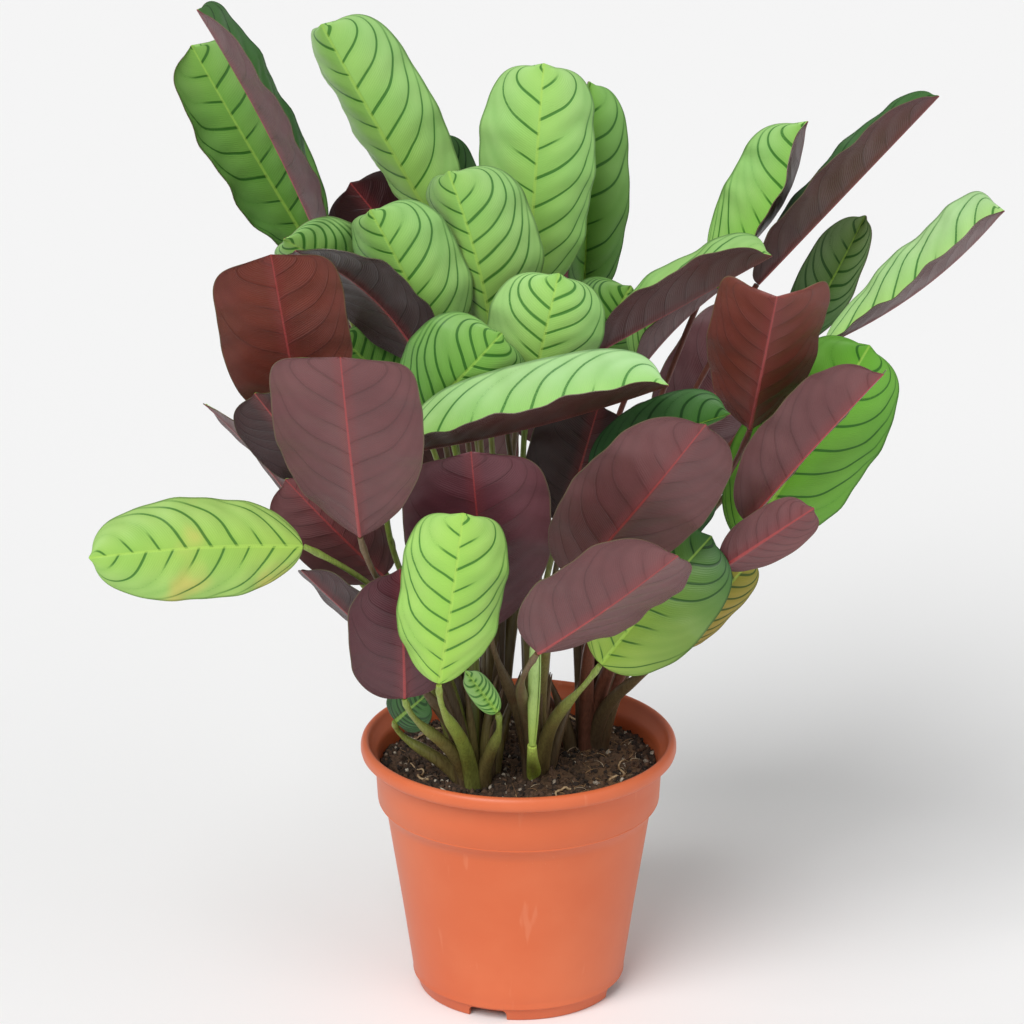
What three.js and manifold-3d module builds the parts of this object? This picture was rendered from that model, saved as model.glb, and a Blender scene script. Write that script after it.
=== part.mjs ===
// Potted ctenanthe in a 12 cm grower's pot. Millimetres, +Z up, front is -Y.
// Everything is laid out from the pot's axis on the floor; the finished group is
// then moved so that the bottom centre of its bounding box is the origin.
import * as THREE from 'three';
import Module from 'manifold-3d';

const wasm = await Module();
wasm.setup();

// ---------------------------------------------------------------- dimensions
const SHIFT = [-11, 5.3, 0];      // pot axis -> part origin
const POT_SEGMENTS = 32;
const POT_HEIGHT = 101;
const RIM_RADIUS = 60;
const FOOT_RADIUS = 38.4;
const WALL = 1.4;
const NOTCH_COUNT = 4;
const NOTCH_WIDTH = 15;
const NOTCH_HEIGHT = 4.2;
const NOTCH_ANGLE = -18;         // degrees from the front, towards the left
const SOIL_TOP = 90;
const SOIL_FLOOR = 7.4;
const GAP = 0.35;                // clearance between neighbouring pieces
const CROWN_DEPTH = 12;
const PIT_ROOM = 1.2;            // loose soil round a crown
const BLADE_THICKNESS = 0.7;
const STEM_SIDES = 5;
const STEM_RINGS = 7;
const BLADE_STATIONS = 11;
const BLADE_SIDE = 2;            // points from midrib to margin

// shoots: crown centre in the soil, crown radius
const SHOOTS = {
  left: { at: [-16, -20], radius: 9 },
  centre: { at: [6, -12], radius: 8 },
  right: { at: [25, 14], radius: 8 },
  back: { at: [-10, 18], radius: 8 },
};

// One row a leaf: name, shoot, neck (foot of the blade), tip, width, and the rest:
// turn  degrees about the neck-tip line (0 upper side to the front, 180 underside)
// twist extra turn from neck to tip; bow and sweep arch the midrib, share of length
// left/right  [fold, curl] in degrees for each half; blunt, belly, notch shape the
// outline; tone picks the look; lean starts the stem outwards from the crown
const LEAVES = [
  ['leaf_01', 'left', [-77, 28, 286], [-119, 16, 367], 40,
    { turn: -5, bow: 0.02, left: [25, -60], right: [10, 10], blunt: 4.5, tone: 'green' }],
  ['leaf_02', 'left', [-72, -2, 297], [-114, -26, 392], 40,
    { turn: 90, bow: 0.02, left: [33, 0], right: [22, 0], tone: 'deep' }],
  ['leaf_03', 'back', [-29, 15, 296], [-71, 5, 378], 46,
    { bow: 0.03, left: [-30, 60], right: [-5, 20], blunt: 3.6, tone: 'fresh' }],
  ['leaf_04', 'back', [3, 8, 271], [9, 2, 364], 47,
    { turn: -4, bow: 0.05, left: [-5, 30], right: [-5, 40], blunt: 3.4, tone: 'fresh' }],
  ['leaf_05', 'back', [24, 36, 262], [26, 34, 348], 32,
    { turn: 35, bow: 0.05, sweep: -0.03, left: [35, 10], right: [50, 40], tone: 'green' }],
  ['leaf_06', 'centre', [-10, -20, 269], [-25, -30, 333], 50,
    { bow: 0.05, sweep: 0.03, left: [-25, 60], right: [0, 30], tone: 'fresh' }],
  ['leaf_07', 'left', [-30, -25, 264], [-53, -38, 321], 46,
    { bow: 0.05, sweep: 0.03, left: [-20, 50], right: [0, 35], tone: 'fresh' }],
  ['leaf_08', 'back', [-15, 4, 256], [-34, 0, 310], 46,
    { turn: 35, bow: 0.05, left: [-10, 30], right: [-10, 30], tone: 'deep' }],
  ['leaf_09', 'left', [-55, -8, 291], [-84, -26, 307], 36,
    { turn: -25, bow: 0.08, left: [0, 40], right: [0, 30], tone: 'fresh' }],
  ['leaf_10', 'back', [-31, 36, 268], [-62, 38, 308], 40,
    { turn: 180, bow: 0.02, left: [5, 10], right: [5, 10], tone: 'shade' }],
  ['leaf_11', 'left', [-79, -28, 235], [-88, -62, 312], 47,
    { turn: 184, bow: -0.04, left: [0, 15], right: [0, 15], blunt: 6, belly: 1.25, tone: 'red' }],
  ['leaf_12', 'left', [-35, -28, 261], [-79, -50, 310], 44,
    { turn: 140, bow: 0.1, left: [10, 20], right: [10, 20], tone: 'shade' }],
  ['leaf_13', 'left', [-57, -80, 213], [-62, -116, 292], 54,
    { turn: 180, bow: -0.04, left: [0, 15], right: [20, 15], blunt: 6, belly: 1.45, tone: 'mauve' }],
  ['leaf_14', 'left', [-71, -42, 220], [-94, -62, 260], 32,
    { turn: 165, left: [5, 20], right: [5, 20], tone: 'shade' }],
  ['leaf_15', 'left', [-82, -22, 203], [-113, -40, 248], 24,
    { turn: 118, bow: 0.03, left: [10, 10], right: [10, 10], tone: 'pale' }],
  ['leaf_16', 'left', [-50, -34, 180], [-84, -48, 222], 34,
    { turn: 178, bow: -0.03, left: [0, 20], right: [0, 20], tone: 'mauve' }],
  ['leaf_17', 'left', [-78, -70, 205], [-152, -94, 210], 38,
    { turn: 22, bow: 0.06, sweep: 0.02, left: [0, 20], right: [0, 30], blunt: 2.4, tone: 'yellowing' }],
  ['leaf_18', 'left', [-44, -52, 153], [-78, -62, 192], 30,
    { turn: 130, left: [20, 10], right: [20, 10], tone: 'shade' }],
  ['leaf_19', 'left', [-39, -13, 239], [-65, -18, 267], 40,
    { left: [0, 30], right: [0, 30], tone: 'green' }],
  ['leaf_20', 'left', [-37, -46, 245], [-7, -54, 280], 46,
    { bow: 0.05, left: [0, 30], right: [0, 30], tone: 'green' }],
  ['leaf_21', 'left', [-40, -60, 238], [52, -72, 267], 46,
    { turn: -71, bow: -0.03, left: [56, 10], right: [55, 0], belly: 0.8, tone: 'pale' }],
  ['leaf_22', 'centre', [3, -36, 247], [14, -44, 299], 44,
    { bow: 0.06, left: [0, 30], right: [0, 30], tone: 'fresh' }],
  ['leaf_23', 'right', [26, 15, 249], [41, 12, 276], 36,
    { bow: 0.05, left: [0, 30], right: [0, 30], tone: 'green' }],
  ['leaf_24', 'centre', [30, -25, 265], [90, -34, 303], 44,
    { turn: -90, left: [28, 0], right: [50, 0], tone: 'fresh' }],
  ['leaf_25', 'right', [45, -2, 250], [74, -4, 281], 38,
    { turn: -75, bow: 0.04, left: [48, 0], right: [48, 0], tone: 'fresh' }],
  ['leaf_26', 'right', [72, 14, 283], [105, 10, 340], 44,
    { bow: 0.02, sweep: 0.13, left: [0, 20], right: [112, 10], blunt: 3.4, tone: 'fresh' }],
  ['leaf_27', 'right', [88, 0, 282], [151, -8, 355], 38,
    { turn: -90, left: [30, 0], right: [52, 0], blunt: 2.3, tone: 'deep' }],
  ['leaf_28', 'right', [105, 18, 255], [128, 22, 300], 27,
    { bow: 0.05, left: [10, 0], right: [60, 0], blunt: 2.2, tone: 'dull' }],
  ['leaf_29', 'right', [112, -18, 265], [174, -28, 318], 42,
    { turn: -90, bow: -0.06, left: [34, 0], right: [28, 0], blunt: 4, belly: 1.35, tone: 'pale' }],
  ['leaf_30', 'right', [84, -44, 241], [91, -76, 301], 44,
    { turn: 184, left: [15, -15], right: [15, -15], blunt: 6, belly: 1.2, notch: 0.12, tone: 'red' }],
  ['leaf_31', 'right', [83, -56, 209], [129, -70, 270], 42,
    { turn: 180, bow: 0.02, left: [75, 0], right: [5, 20], tone: 'mauve' }],
  ['leaf_32', 'right', [83, -28, 190], [127, -30, 267], 50,
    { turn: -5, bow: 0.05, left: [0, 20], right: [0, 25], tone: 'lush' }],
  ['leaf_33', 'right', [103, -3, 235], [120, -5, 261], 24,
    { bow: 0.05, left: [20, 0], right: [20, 0], tone: 'lush' }],
  ['leaf_34', 'right', [74, -62, 194], [105, -72, 220], 22,
    { turn: 180, left: [20, 10], right: [10, 10], tone: 'mauve' }],
  ['leaf_35', 'right', [56, -30, 149], [85, -38, 187], 20,
    { bow: 0.03, left: [0, 30], right: [0, 30], tone: 'orange' }],
  ['leaf_36', 'centre', [30, -62, 156], [69, -62, 205], 44,
    { turn: -5, bow: 0.06, sweep: -0.02, left: [0, 30], right: [30, 30], tone: 'olive' }],
  ['leaf_37', 'right', [38, -55, 193], [65, -48, 230], 36,
    { bow: 0.05, left: [0, 30], right: [0, 30], tone: 'deep' }],
  ['leaf_38', 'centre', [20, -70, 193], [65, -98, 261], 52,
    { turn: 180, bow: -0.04, left: [30, 20], right: [0, 20], blunt: 2.6, tone: 'mauve' }],
  ['leaf_39', 'centre', [7, -88, 171], [55, -112, 217], 50,
    { turn: 182, bow: -0.04, left: [50, 10], right: [0, 20], belly: 0.9, tone: 'mauve' }],
  ['leaf_40', 'centre', [-11, -52, 166], [-17, -80, 244], 54,
    { turn: 180, bow: -0.04, left: [0, 15], right: [0, 15], blunt: 4.5, belly: 1.5, tone: 'plum' }],
  ['leaf_41', 'left', [-29, -76, 154], [-20, -92, 225], 40,
    { turn: 3, bow: 0.05, left: [-5, 25], right: [-5, 25], blunt: 3.6, tone: 'bright' }],
  ['leaf_42', 'left', [-42, -60, 142], [-43, -72, 196], 42,
    { turn: 190, bow: -0.03, left: [0, 20], right: [0, 20], tone: 'plum' }],
  ['leaf_43', 'centre', [27, -42, 221], [75, -58, 251], 30,
    { turn: -60, bow: 0.06, left: [45, 10], right: [45, 0], tone: 'deep' }],
  ['leaf_44', 'centre', [17, -18, 195], [29, -34, 246], 42,
    { turn: 175, left: [0, 20], right: [0, 20], tone: 'shade' }],
  ['leaf_45', 'left', [-8, -48, 131], [-19, -56, 150], 10,
    { turn: 20, left: [20, 10], right: [20, 10], tone: 'fresh' }],
  ['leaf_46', 'left', [-46, -30, 120], [-35, -40, 134], 18,
    { turn: -20, bow: 0.05, left: [10, 10], right: [10, 10], tone: 'deep' }],
  ['leaf_47', 'back', [-27, 46, 273], [-33, 46, 325], 34,
    { bow: 0.05, left: [0, 30], right: [0, 30], tone: 'deep' }],
  ['leaf_48', 'back', [10, 62, 196], [16, 92, 262], 50,
    { turn: 178, bow: 0.05, left: [0, 20], right: [0, 20], tone: 'green' }],
  ['leaf_49', 'back', [-46, 54, 188], [-74, 84, 250], 48,
    { turn: 190, bow: 0.05, left: [0, 20], right: [0, 20], tone: 'deep' }],
  ['leaf_50', 'right', [58, 48, 186], [92, 76, 246], 46,
    { turn: 170, bow: 0.05, left: [0, 20], right: [0, 20], tone: 'green' }],
  ['leaf_51', 'back', [-14, 72, 168], [-28, 108, 214], 44,
    { turn: 186, bow: 0.06, left: [0, 25], right: [0, 25], tone: 'lush' }],
  ['leaf_52', 'right', [40, 66, 158], [62, 104, 196], 40,
    { turn: 176, bow: 0.06, left: [0, 25], right: [0, 25], tone: 'green' }],
];

// the new leaf still rolled up into a spear
const SPEAR = { shoot: 'centre', neck: [5, -43, 116], tip: [6, -56, 162], radius: 2.6 };

// ------------------------------------------------------------------- helpers
const rad = THREE.MathUtils.degToRad;
const V = (p) => new THREE.Vector3(p[0], p[1], p[2]);

function geometryOf(points, faces) {
  const g = new THREE.BufferGeometry();
  g.setAttribute('position', new THREE.Float32BufferAttribute(points.flat(), 3));
  g.setIndex(faces.flat());
  g.computeVertexNormals();
  return g;
}

function solidOf(points, faces) {
  return new wasm.Manifold(new wasm.Mesh({
    numProp: 3,
    vertProperties: new Float32Array(points.flat()),
    triVerts: new Uint32Array(faces.flat()),
  }));
}

function geometryOfSolid(solid) {
  const m = solid.getMesh();
  const g = new THREE.BufferGeometry();
  g.setAttribute('position', new THREE.BufferAttribute(new Float32Array(m.vertProperties), 3));
  g.setIndex(new THREE.BufferAttribute(new Uint32Array(m.triVerts), 1));
  g.computeVertexNormals();
  return g;
}

// skin between rings of equal size with a pole point at each end
function loft(rings, first, last) {
  const n = rings[0].length;
  const points = [first, ...rings.flat(), last];
  const end = points.length - 1;
  const faces = [];
  for (let k = 0; k < n; k++) {
    const next = (k + 1) % n;
    faces.push([0, 1 + next, 1 + k]);
    for (let r = 0; r + 1 < rings.length; r++) {
      const a = 1 + r * n;
      const b = a + n;
      faces.push([a + k, a + next, b + next], [a + k, b + next, b + k]);
    }
    const a = 1 + (rings.length - 1) * n;
    faces.push([end, a + k, a + next]);
  }
  return { points, faces };
}

// body of revolution about +Z; the profile starts and ends on the axis
function revolve(profile, segments) {
  const rings = profile.slice(1, -1).map(([r, z]) => Array.from({ length: segments }, (_, k) => {
    const a = (2 * Math.PI * k) / segments;
    return [r * Math.cos(a), r * Math.sin(a), z];
  }));
  return loft(rings, [0, 0, profile[0][1]], [0, 0, profile.at(-1)[1]]);
}

// --------------------------------------------------------------- pot and soil
function potBody() {
  const outer = [
    [0, 5.4], [FOOT_RADIUS - 2, 5.4], [FOOT_RADIUS - 1.8, 0.4], [FOOT_RADIUS - 1.3, 0],
    [FOOT_RADIUS - 0.6, 0], [FOOT_RADIUS, 0.7], [FOOT_RADIUS + 0.6, 5], [40.4, 5.4], [40.6, 6.4],
    [44.5, 34.3], [50.2, 71], [51.4, 73.8], [53.1, 76.2], [53.7, 77.6], [54.7, 95.2],
    [58.6, 95], [RIM_RADIUS - 0.3, 96], [RIM_RADIUS, 98], [RIM_RADIUS - 0.3, 100],
    [58.6, POT_HEIGHT], [57.4, POT_HEIGHT - 0.2],
  ];
  const inner = [
    [56.6, 99.6], [54.6 - WALL + 1, 96.8], [53.2, 94.6], [53.7 - WALL, 78.6], [51.4 - WALL, 75],
    [50.2 - WALL, 72.2], [44.5 - WALL, 34.8], [40.6 - WALL, 8.4], [38.4, 7], [0, 7],
  ];
  const { points, faces } = revolve([...outer, ...inner], POT_SEGMENTS);
  let pot = solidOf(points, faces);
  for (let k = 0; k < NOTCH_COUNT; k++) {
    const block = wasm.Manifold.cube([NOTCH_WIDTH, 14, 2 * NOTCH_HEIGHT], true)
      .translate([0, -FOOT_RADIUS, 0])
      .rotate([0, 0, NOTCH_ANGLE + (360 / NOTCH_COUNT) * k]);
    pot = pot.subtract(block);
  }
  return pot;
}

function soilBody() {
  const profile = [
    [0, SOIL_FLOOR], [37.6, SOIL_FLOOR], [40.6 - WALL - GAP, 9], [44.5 - WALL - GAP, 34.8],
    [50.2 - WALL - GAP, 72.4], [51.4 - WALL - GAP, 75.4], [53.7 - WALL - GAP - 0.2, 79],
    [52.4, SOIL_TOP - 1.2], [51, SOIL_TOP], [34, SOIL_TOP + 0.4], [16, SOIL_TOP - 0.6],
    [0, SOIL_TOP - 0.4],
  ];
  const { points, faces } = revolve(profile, POT_SEGMENTS);
  let soil = solidOf(points, faces);
  for (const { at, radius } of Object.values(SHOOTS)) {
    const pit = wasm.Manifold.cylinder(CROWN_DEPTH + 20, radius + PIT_ROOM, radius + PIT_ROOM, 20)
      .translate([at[0], at[1], SOIL_TOP - CROWN_DEPTH - GAP]);
    soil = soil.subtract(pit);
  }
  return soil;
}

// --------------------------------------------------------------------- leaves
// share of the full width at s, 0 at the neck and 1 at the tip
function outline(s, blunt, belly) {
  const x = 2 * Math.pow(s, belly) - 1;
  const n = x < 0 ? 2 : blunt;
  return Math.pow(Math.max(0, 1 - Math.pow(Math.abs(x), n)), 1 / n);
}

// across-the-blade position at distance q from the midrib, bent from fold by curl
function bend(q, half, fold, curl) {
  if (Math.abs(curl) < 1e-3) return [q * Math.cos(fold), q * Math.sin(fold)];
  const k = curl / half;
  return [(Math.sin(fold) - Math.sin(fold - k * q)) / k,
    (Math.cos(fold - k * q) - Math.cos(fold)) / k];
}

// rows of [point, normal] pairs across the blade for every station
function bladeRows([, , neck, tip, width, shape]) {
  const { turn = 0, twist = 0, bow = 0, sweep = 0, left, right } = shape;
  const { blunt = 3, belly = 1, notch = 0 } = shape;
  const from = V(neck);
  const axis = V(tip).sub(from);
  const length = axis.length();
  const e = axis.clone().normalize();
  const front = new THREE.Vector3(0, -1, 0);
  const n0 = front.clone().addScaledVector(e, -front.dot(e)).normalize();
  const b0 = new THREE.Vector3().crossVectors(e, n0);
  const dir = (deg) => n0.clone().multiplyScalar(Math.cos(rad(deg)))
    .addScaledVector(b0, Math.sin(rad(deg)));
  const nMid = dir(turn);
  const bMid = dir(turn + 90);
  const rows = [];
  for (let i = 0; i <= BLADE_STATIONS; i++) {
    const s = 0.5 * (1 - Math.cos((Math.PI * i) / BLADE_STATIONS));
    const hump = 4 * s * (1 - s);
    const slope = 4 * (1 - 2 * s);
    const mid = from.clone().addScaledVector(axis, s)
      .addScaledVector(nMid, hump * bow * length).addScaledVector(bMid, hump * sweep * length);
    const t = axis.clone().addScaledVector(nMid, slope * bow * length)
      .addScaledVector(bMid, slope * sweep * length).normalize();
    const n = dir(turn + twist * (s - 0.5));
    n.addScaledVector(t, -n.dot(t)).normalize();
    const b = new THREE.Vector3().crossVectors(t, n);
    const half = 0.5 * width * outline(s, blunt, belly);
    const row = [];
    for (let j = -BLADE_SIDE; j <= BLADE_SIDE; j++) {
      const side = Math.sign(j);
      const [fold, curl] = (j < 0 ? left : right).map(rad);
      const q = (half * Math.abs(j)) / BLADE_SIDE;
      const [x, y] = half > 1e-6 ? bend(q, half, fold, curl) : [0, 0];
      const angle = j === 0 ? 0 : fold - curl * (Math.abs(j) / BLADE_SIDE);
      const point = mid.clone().addScaledVector(b, side * x).addScaledVector(n, y)
        .addScaledVector(e, notch * length * s ** 4 * (q / (0.5 * width)) ** 2);
      const normal = n.clone().multiplyScalar(Math.cos(angle))
        .addScaledVector(b, -side * Math.sin(angle));
      row.push([point, normal]);
    }
    rows.push(row);
  }
  return rows;
}

function bladeBody(leaf) {
  const rows = bladeRows(leaf);
  const rings = rows.slice(1, -1).map((row) => {
    const upper = row.map(([p, n]) => p.clone().addScaledVector(n, BLADE_THICKNESS / 2).toArray());
    const lower = row.map(([p, n]) => p.clone().addScaledVector(n, -BLADE_THICKNESS / 2).toArray());
    return [...upper, ...lower.reverse()];
  });
  const middle = BLADE_SIDE;
  return loft(rings, rows[0][middle][0].toArray(), rows.at(-1)[middle][0].toArray());
}

// ---------------------------------------------------------------------- stems
// stem from its crown to a point just short of the blade, sheathed low down
function stemPath(foot, neck, tip) {
  const end = V(neck);
  const along = V(tip).sub(end).normalize();
  end.addScaledVector(along, -0.6);
  const start = new THREE.Vector3(foot[0], foot[1], SOIL_TOP - CROWN_DEPTH + 2);
  const reach = end.distanceTo(start);
  const rise = start.clone().add(new THREE.Vector3(0, 0, 0.45 * reach));
  const arrival = end.clone().sub(start).normalize().add(along).normalize();
  const arrive = end.clone().addScaledVector(arrival, -0.3 * reach);
  return new THREE.CubicBezierCurve3(start, rise, arrive, end);
}

function stemRadius(t) {
  const sheath = 3 - 1.1 * t;
  const petiole = 1.25 - 0.2 * t;
  const blend = Math.min(1, Math.max(0, (t - 0.4) / 0.12));
  return sheath + (petiole - sheath) * blend;
}

function tube(curve, radiusAt, sides, steps) {
  const rings = [];
  let side = new THREE.Vector3(1, 0, 0);
  for (let i = 0; i <= steps; i++) {
    const t = i / steps;
    const dir = curve.getTangent(t);
    side.addScaledVector(dir, -side.dot(dir)).normalize();
    const up = new THREE.Vector3().crossVectors(dir, side);
    const c = curve.getPoint(t);
    const r = radiusAt(t);
    rings.push(Array.from({ length: sides }, (_, k) => {
      const a = (2 * Math.PI * k) / sides;
      return c.clone().addScaledVector(side, r * Math.cos(a))
        .addScaledVector(up, r * Math.sin(a)).toArray();
    }));
  }
  return loft(rings, curve.getPoint(0).toArray(), curve.getPoint(1).toArray());
}

// feet of the stems are spread over the crown towards the leaf they carry
function footOf(crown, radius, neck) {
  const dx = neck[0] - crown[0];
  const dy = neck[1] - crown[1];
  const far = Math.hypot(dx, dy);
  const out = (radius - 3.4) * Math.min(1, far / 60);
  return [crown[0] + (dx / far) * out, crown[1] + (dy / far) * out];
}

function shootBody(name) {
  const { at, radius } = SHOOTS[name];
  let body = wasm.Manifold.cylinder(CROWN_DEPTH + 1.5, radius, radius * 0.8, 14)
    .translate([at[0], at[1], SOIL_TOP - CROWN_DEPTH]);
  const carried = LEAVES.filter((leaf) => leaf[1] === name).map((leaf) => [leaf[2], leaf[3]]);
  if (SPEAR.shoot === name) carried.push([SPEAR.neck, SPEAR.tip]);
  for (const [neck, tip] of carried) {
    const curve = stemPath(footOf(at, radius, neck), neck, tip);
    const { points, faces } = tube(curve, stemRadius, STEM_SIDES, STEM_RINGS);
    body = body.add(solidOf(points, faces));
  }
  return body;
}

function spearBody() {
  const curve = new THREE.LineCurve3(V(SPEAR.neck), V(SPEAR.tip));
  const radiusAt = (t) => SPEAR.radius * (0.55 + 1.4 * t - 1.15 * t * t);
  return tube(curve, radiusAt, 10, 8);
}

// ------------------------------------------------------------------- assembly
const TONES = {
  fresh: 0x9fd07c, green: 0x7cab55, deep: 0x3f6b34, lush: 0x6fae3c, bright: 0xa6d455,
  pale: 0xb4dba0, dull: 0x7f9a68, olive: 0x6d8a3c, yellowing: 0xc2cc6c, orange: 0xc98a3c,
  red: 0x6e3634, mauve: 0x75504f, plum: 0x4f2c30, shade: 0x331c1d,
};

const group = new THREE.Group();
group.name = 'potted_ctenanthe';

function place(name, geometry, color, roughness) {
  const material = new THREE.MeshStandardMaterial({ color, roughness, metalness: 0 });
  material.name = `${name}_material`;
  const mesh = new THREE.Mesh(geometry, material);
  mesh.name = name;
  geometry.translate(...SHIFT);
  group.add(mesh);
}

place('pot', geometryOfSolid(potBody()), 0xd8693f, 0.5);
place('soil', geometryOfSolid(soilBody()), 0x3a2a1d, 0.95);
for (const name of Object.keys(SHOOTS)) {
  place(`stems_${name}`, geometryOfSolid(shootBody(name)), 0x6d6a3a, 0.6);
}
for (const leaf of LEAVES) {
  const { points, faces } = bladeBody(leaf);
  place(leaf[0], geometryOf(points, faces), TONES[leaf[5].tone], 0.5);
}
const spear = spearBody();
place('spear', geometryOf(spear.points, spear.faces), 0xa9cf74, 0.5);

export default group;
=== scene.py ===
"""Looks of the potted ctenanthe: pot, soil, sheathed stems and patterned leaves.

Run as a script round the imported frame. Sizes are in metres unless a name ends in _MM.
"""
import math
import random

import bpy
import numpy as np
from mathutils import Matrix, Vector, noise


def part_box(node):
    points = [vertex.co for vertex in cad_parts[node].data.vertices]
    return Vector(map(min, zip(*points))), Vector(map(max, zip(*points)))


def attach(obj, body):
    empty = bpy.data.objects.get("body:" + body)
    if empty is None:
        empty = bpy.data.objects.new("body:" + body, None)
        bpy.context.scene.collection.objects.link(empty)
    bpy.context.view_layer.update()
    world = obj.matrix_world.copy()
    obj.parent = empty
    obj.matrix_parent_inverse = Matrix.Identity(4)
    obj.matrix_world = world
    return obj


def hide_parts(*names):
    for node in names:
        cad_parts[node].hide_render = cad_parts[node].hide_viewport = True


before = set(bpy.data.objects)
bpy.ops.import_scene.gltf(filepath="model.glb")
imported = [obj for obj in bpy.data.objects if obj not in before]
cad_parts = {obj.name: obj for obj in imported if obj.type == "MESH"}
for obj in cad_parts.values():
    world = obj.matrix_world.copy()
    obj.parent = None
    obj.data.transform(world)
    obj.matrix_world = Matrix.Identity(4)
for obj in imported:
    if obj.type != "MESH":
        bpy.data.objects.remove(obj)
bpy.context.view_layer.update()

bl_info = {
    "name": "Potted ctenanthe",
    "version": (1, 0, 0),
    "blender": (4, 5, 0),
    "location": "View3D > Sidebar > Plant",
    "description": "Builds a leafy ctenanthe in its grower's pot",
    "category": "Add Mesh",
}

MM = 0.001
ROOT = "root"
POT_LOW, POT_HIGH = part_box("pot")
AXIS = np.array([(POT_LOW[0] + POT_HIGH[0]) / 2, (POT_LOW[1] + POT_HIGH[1]) / 2, 0.0])

# ------------------------------------------------------------------ plant plan
SOIL_TOP_MM = 90
CROWN_START_MM = 80
SHOOTS = {
    "left": ((-16, -20), 9),
    "centre": ((6, -12), 8),
    "right": ((25, 14), 8),
    "back": ((-10, 18), 8),
}
SPEAR_NECK, SPEAR_TIP, SPEAR_RADIUS_MM = (5, -43, 116), (6, -56, 162), 2.6
SPEAR_SHOOT = "centre"
SPEAR_ROWS, SPEAR_ROUND_STEPS, SPEAR_WRAPS = 44, 64, 1.55
SPEAR_THICKNESS_MM = 0.28

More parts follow.
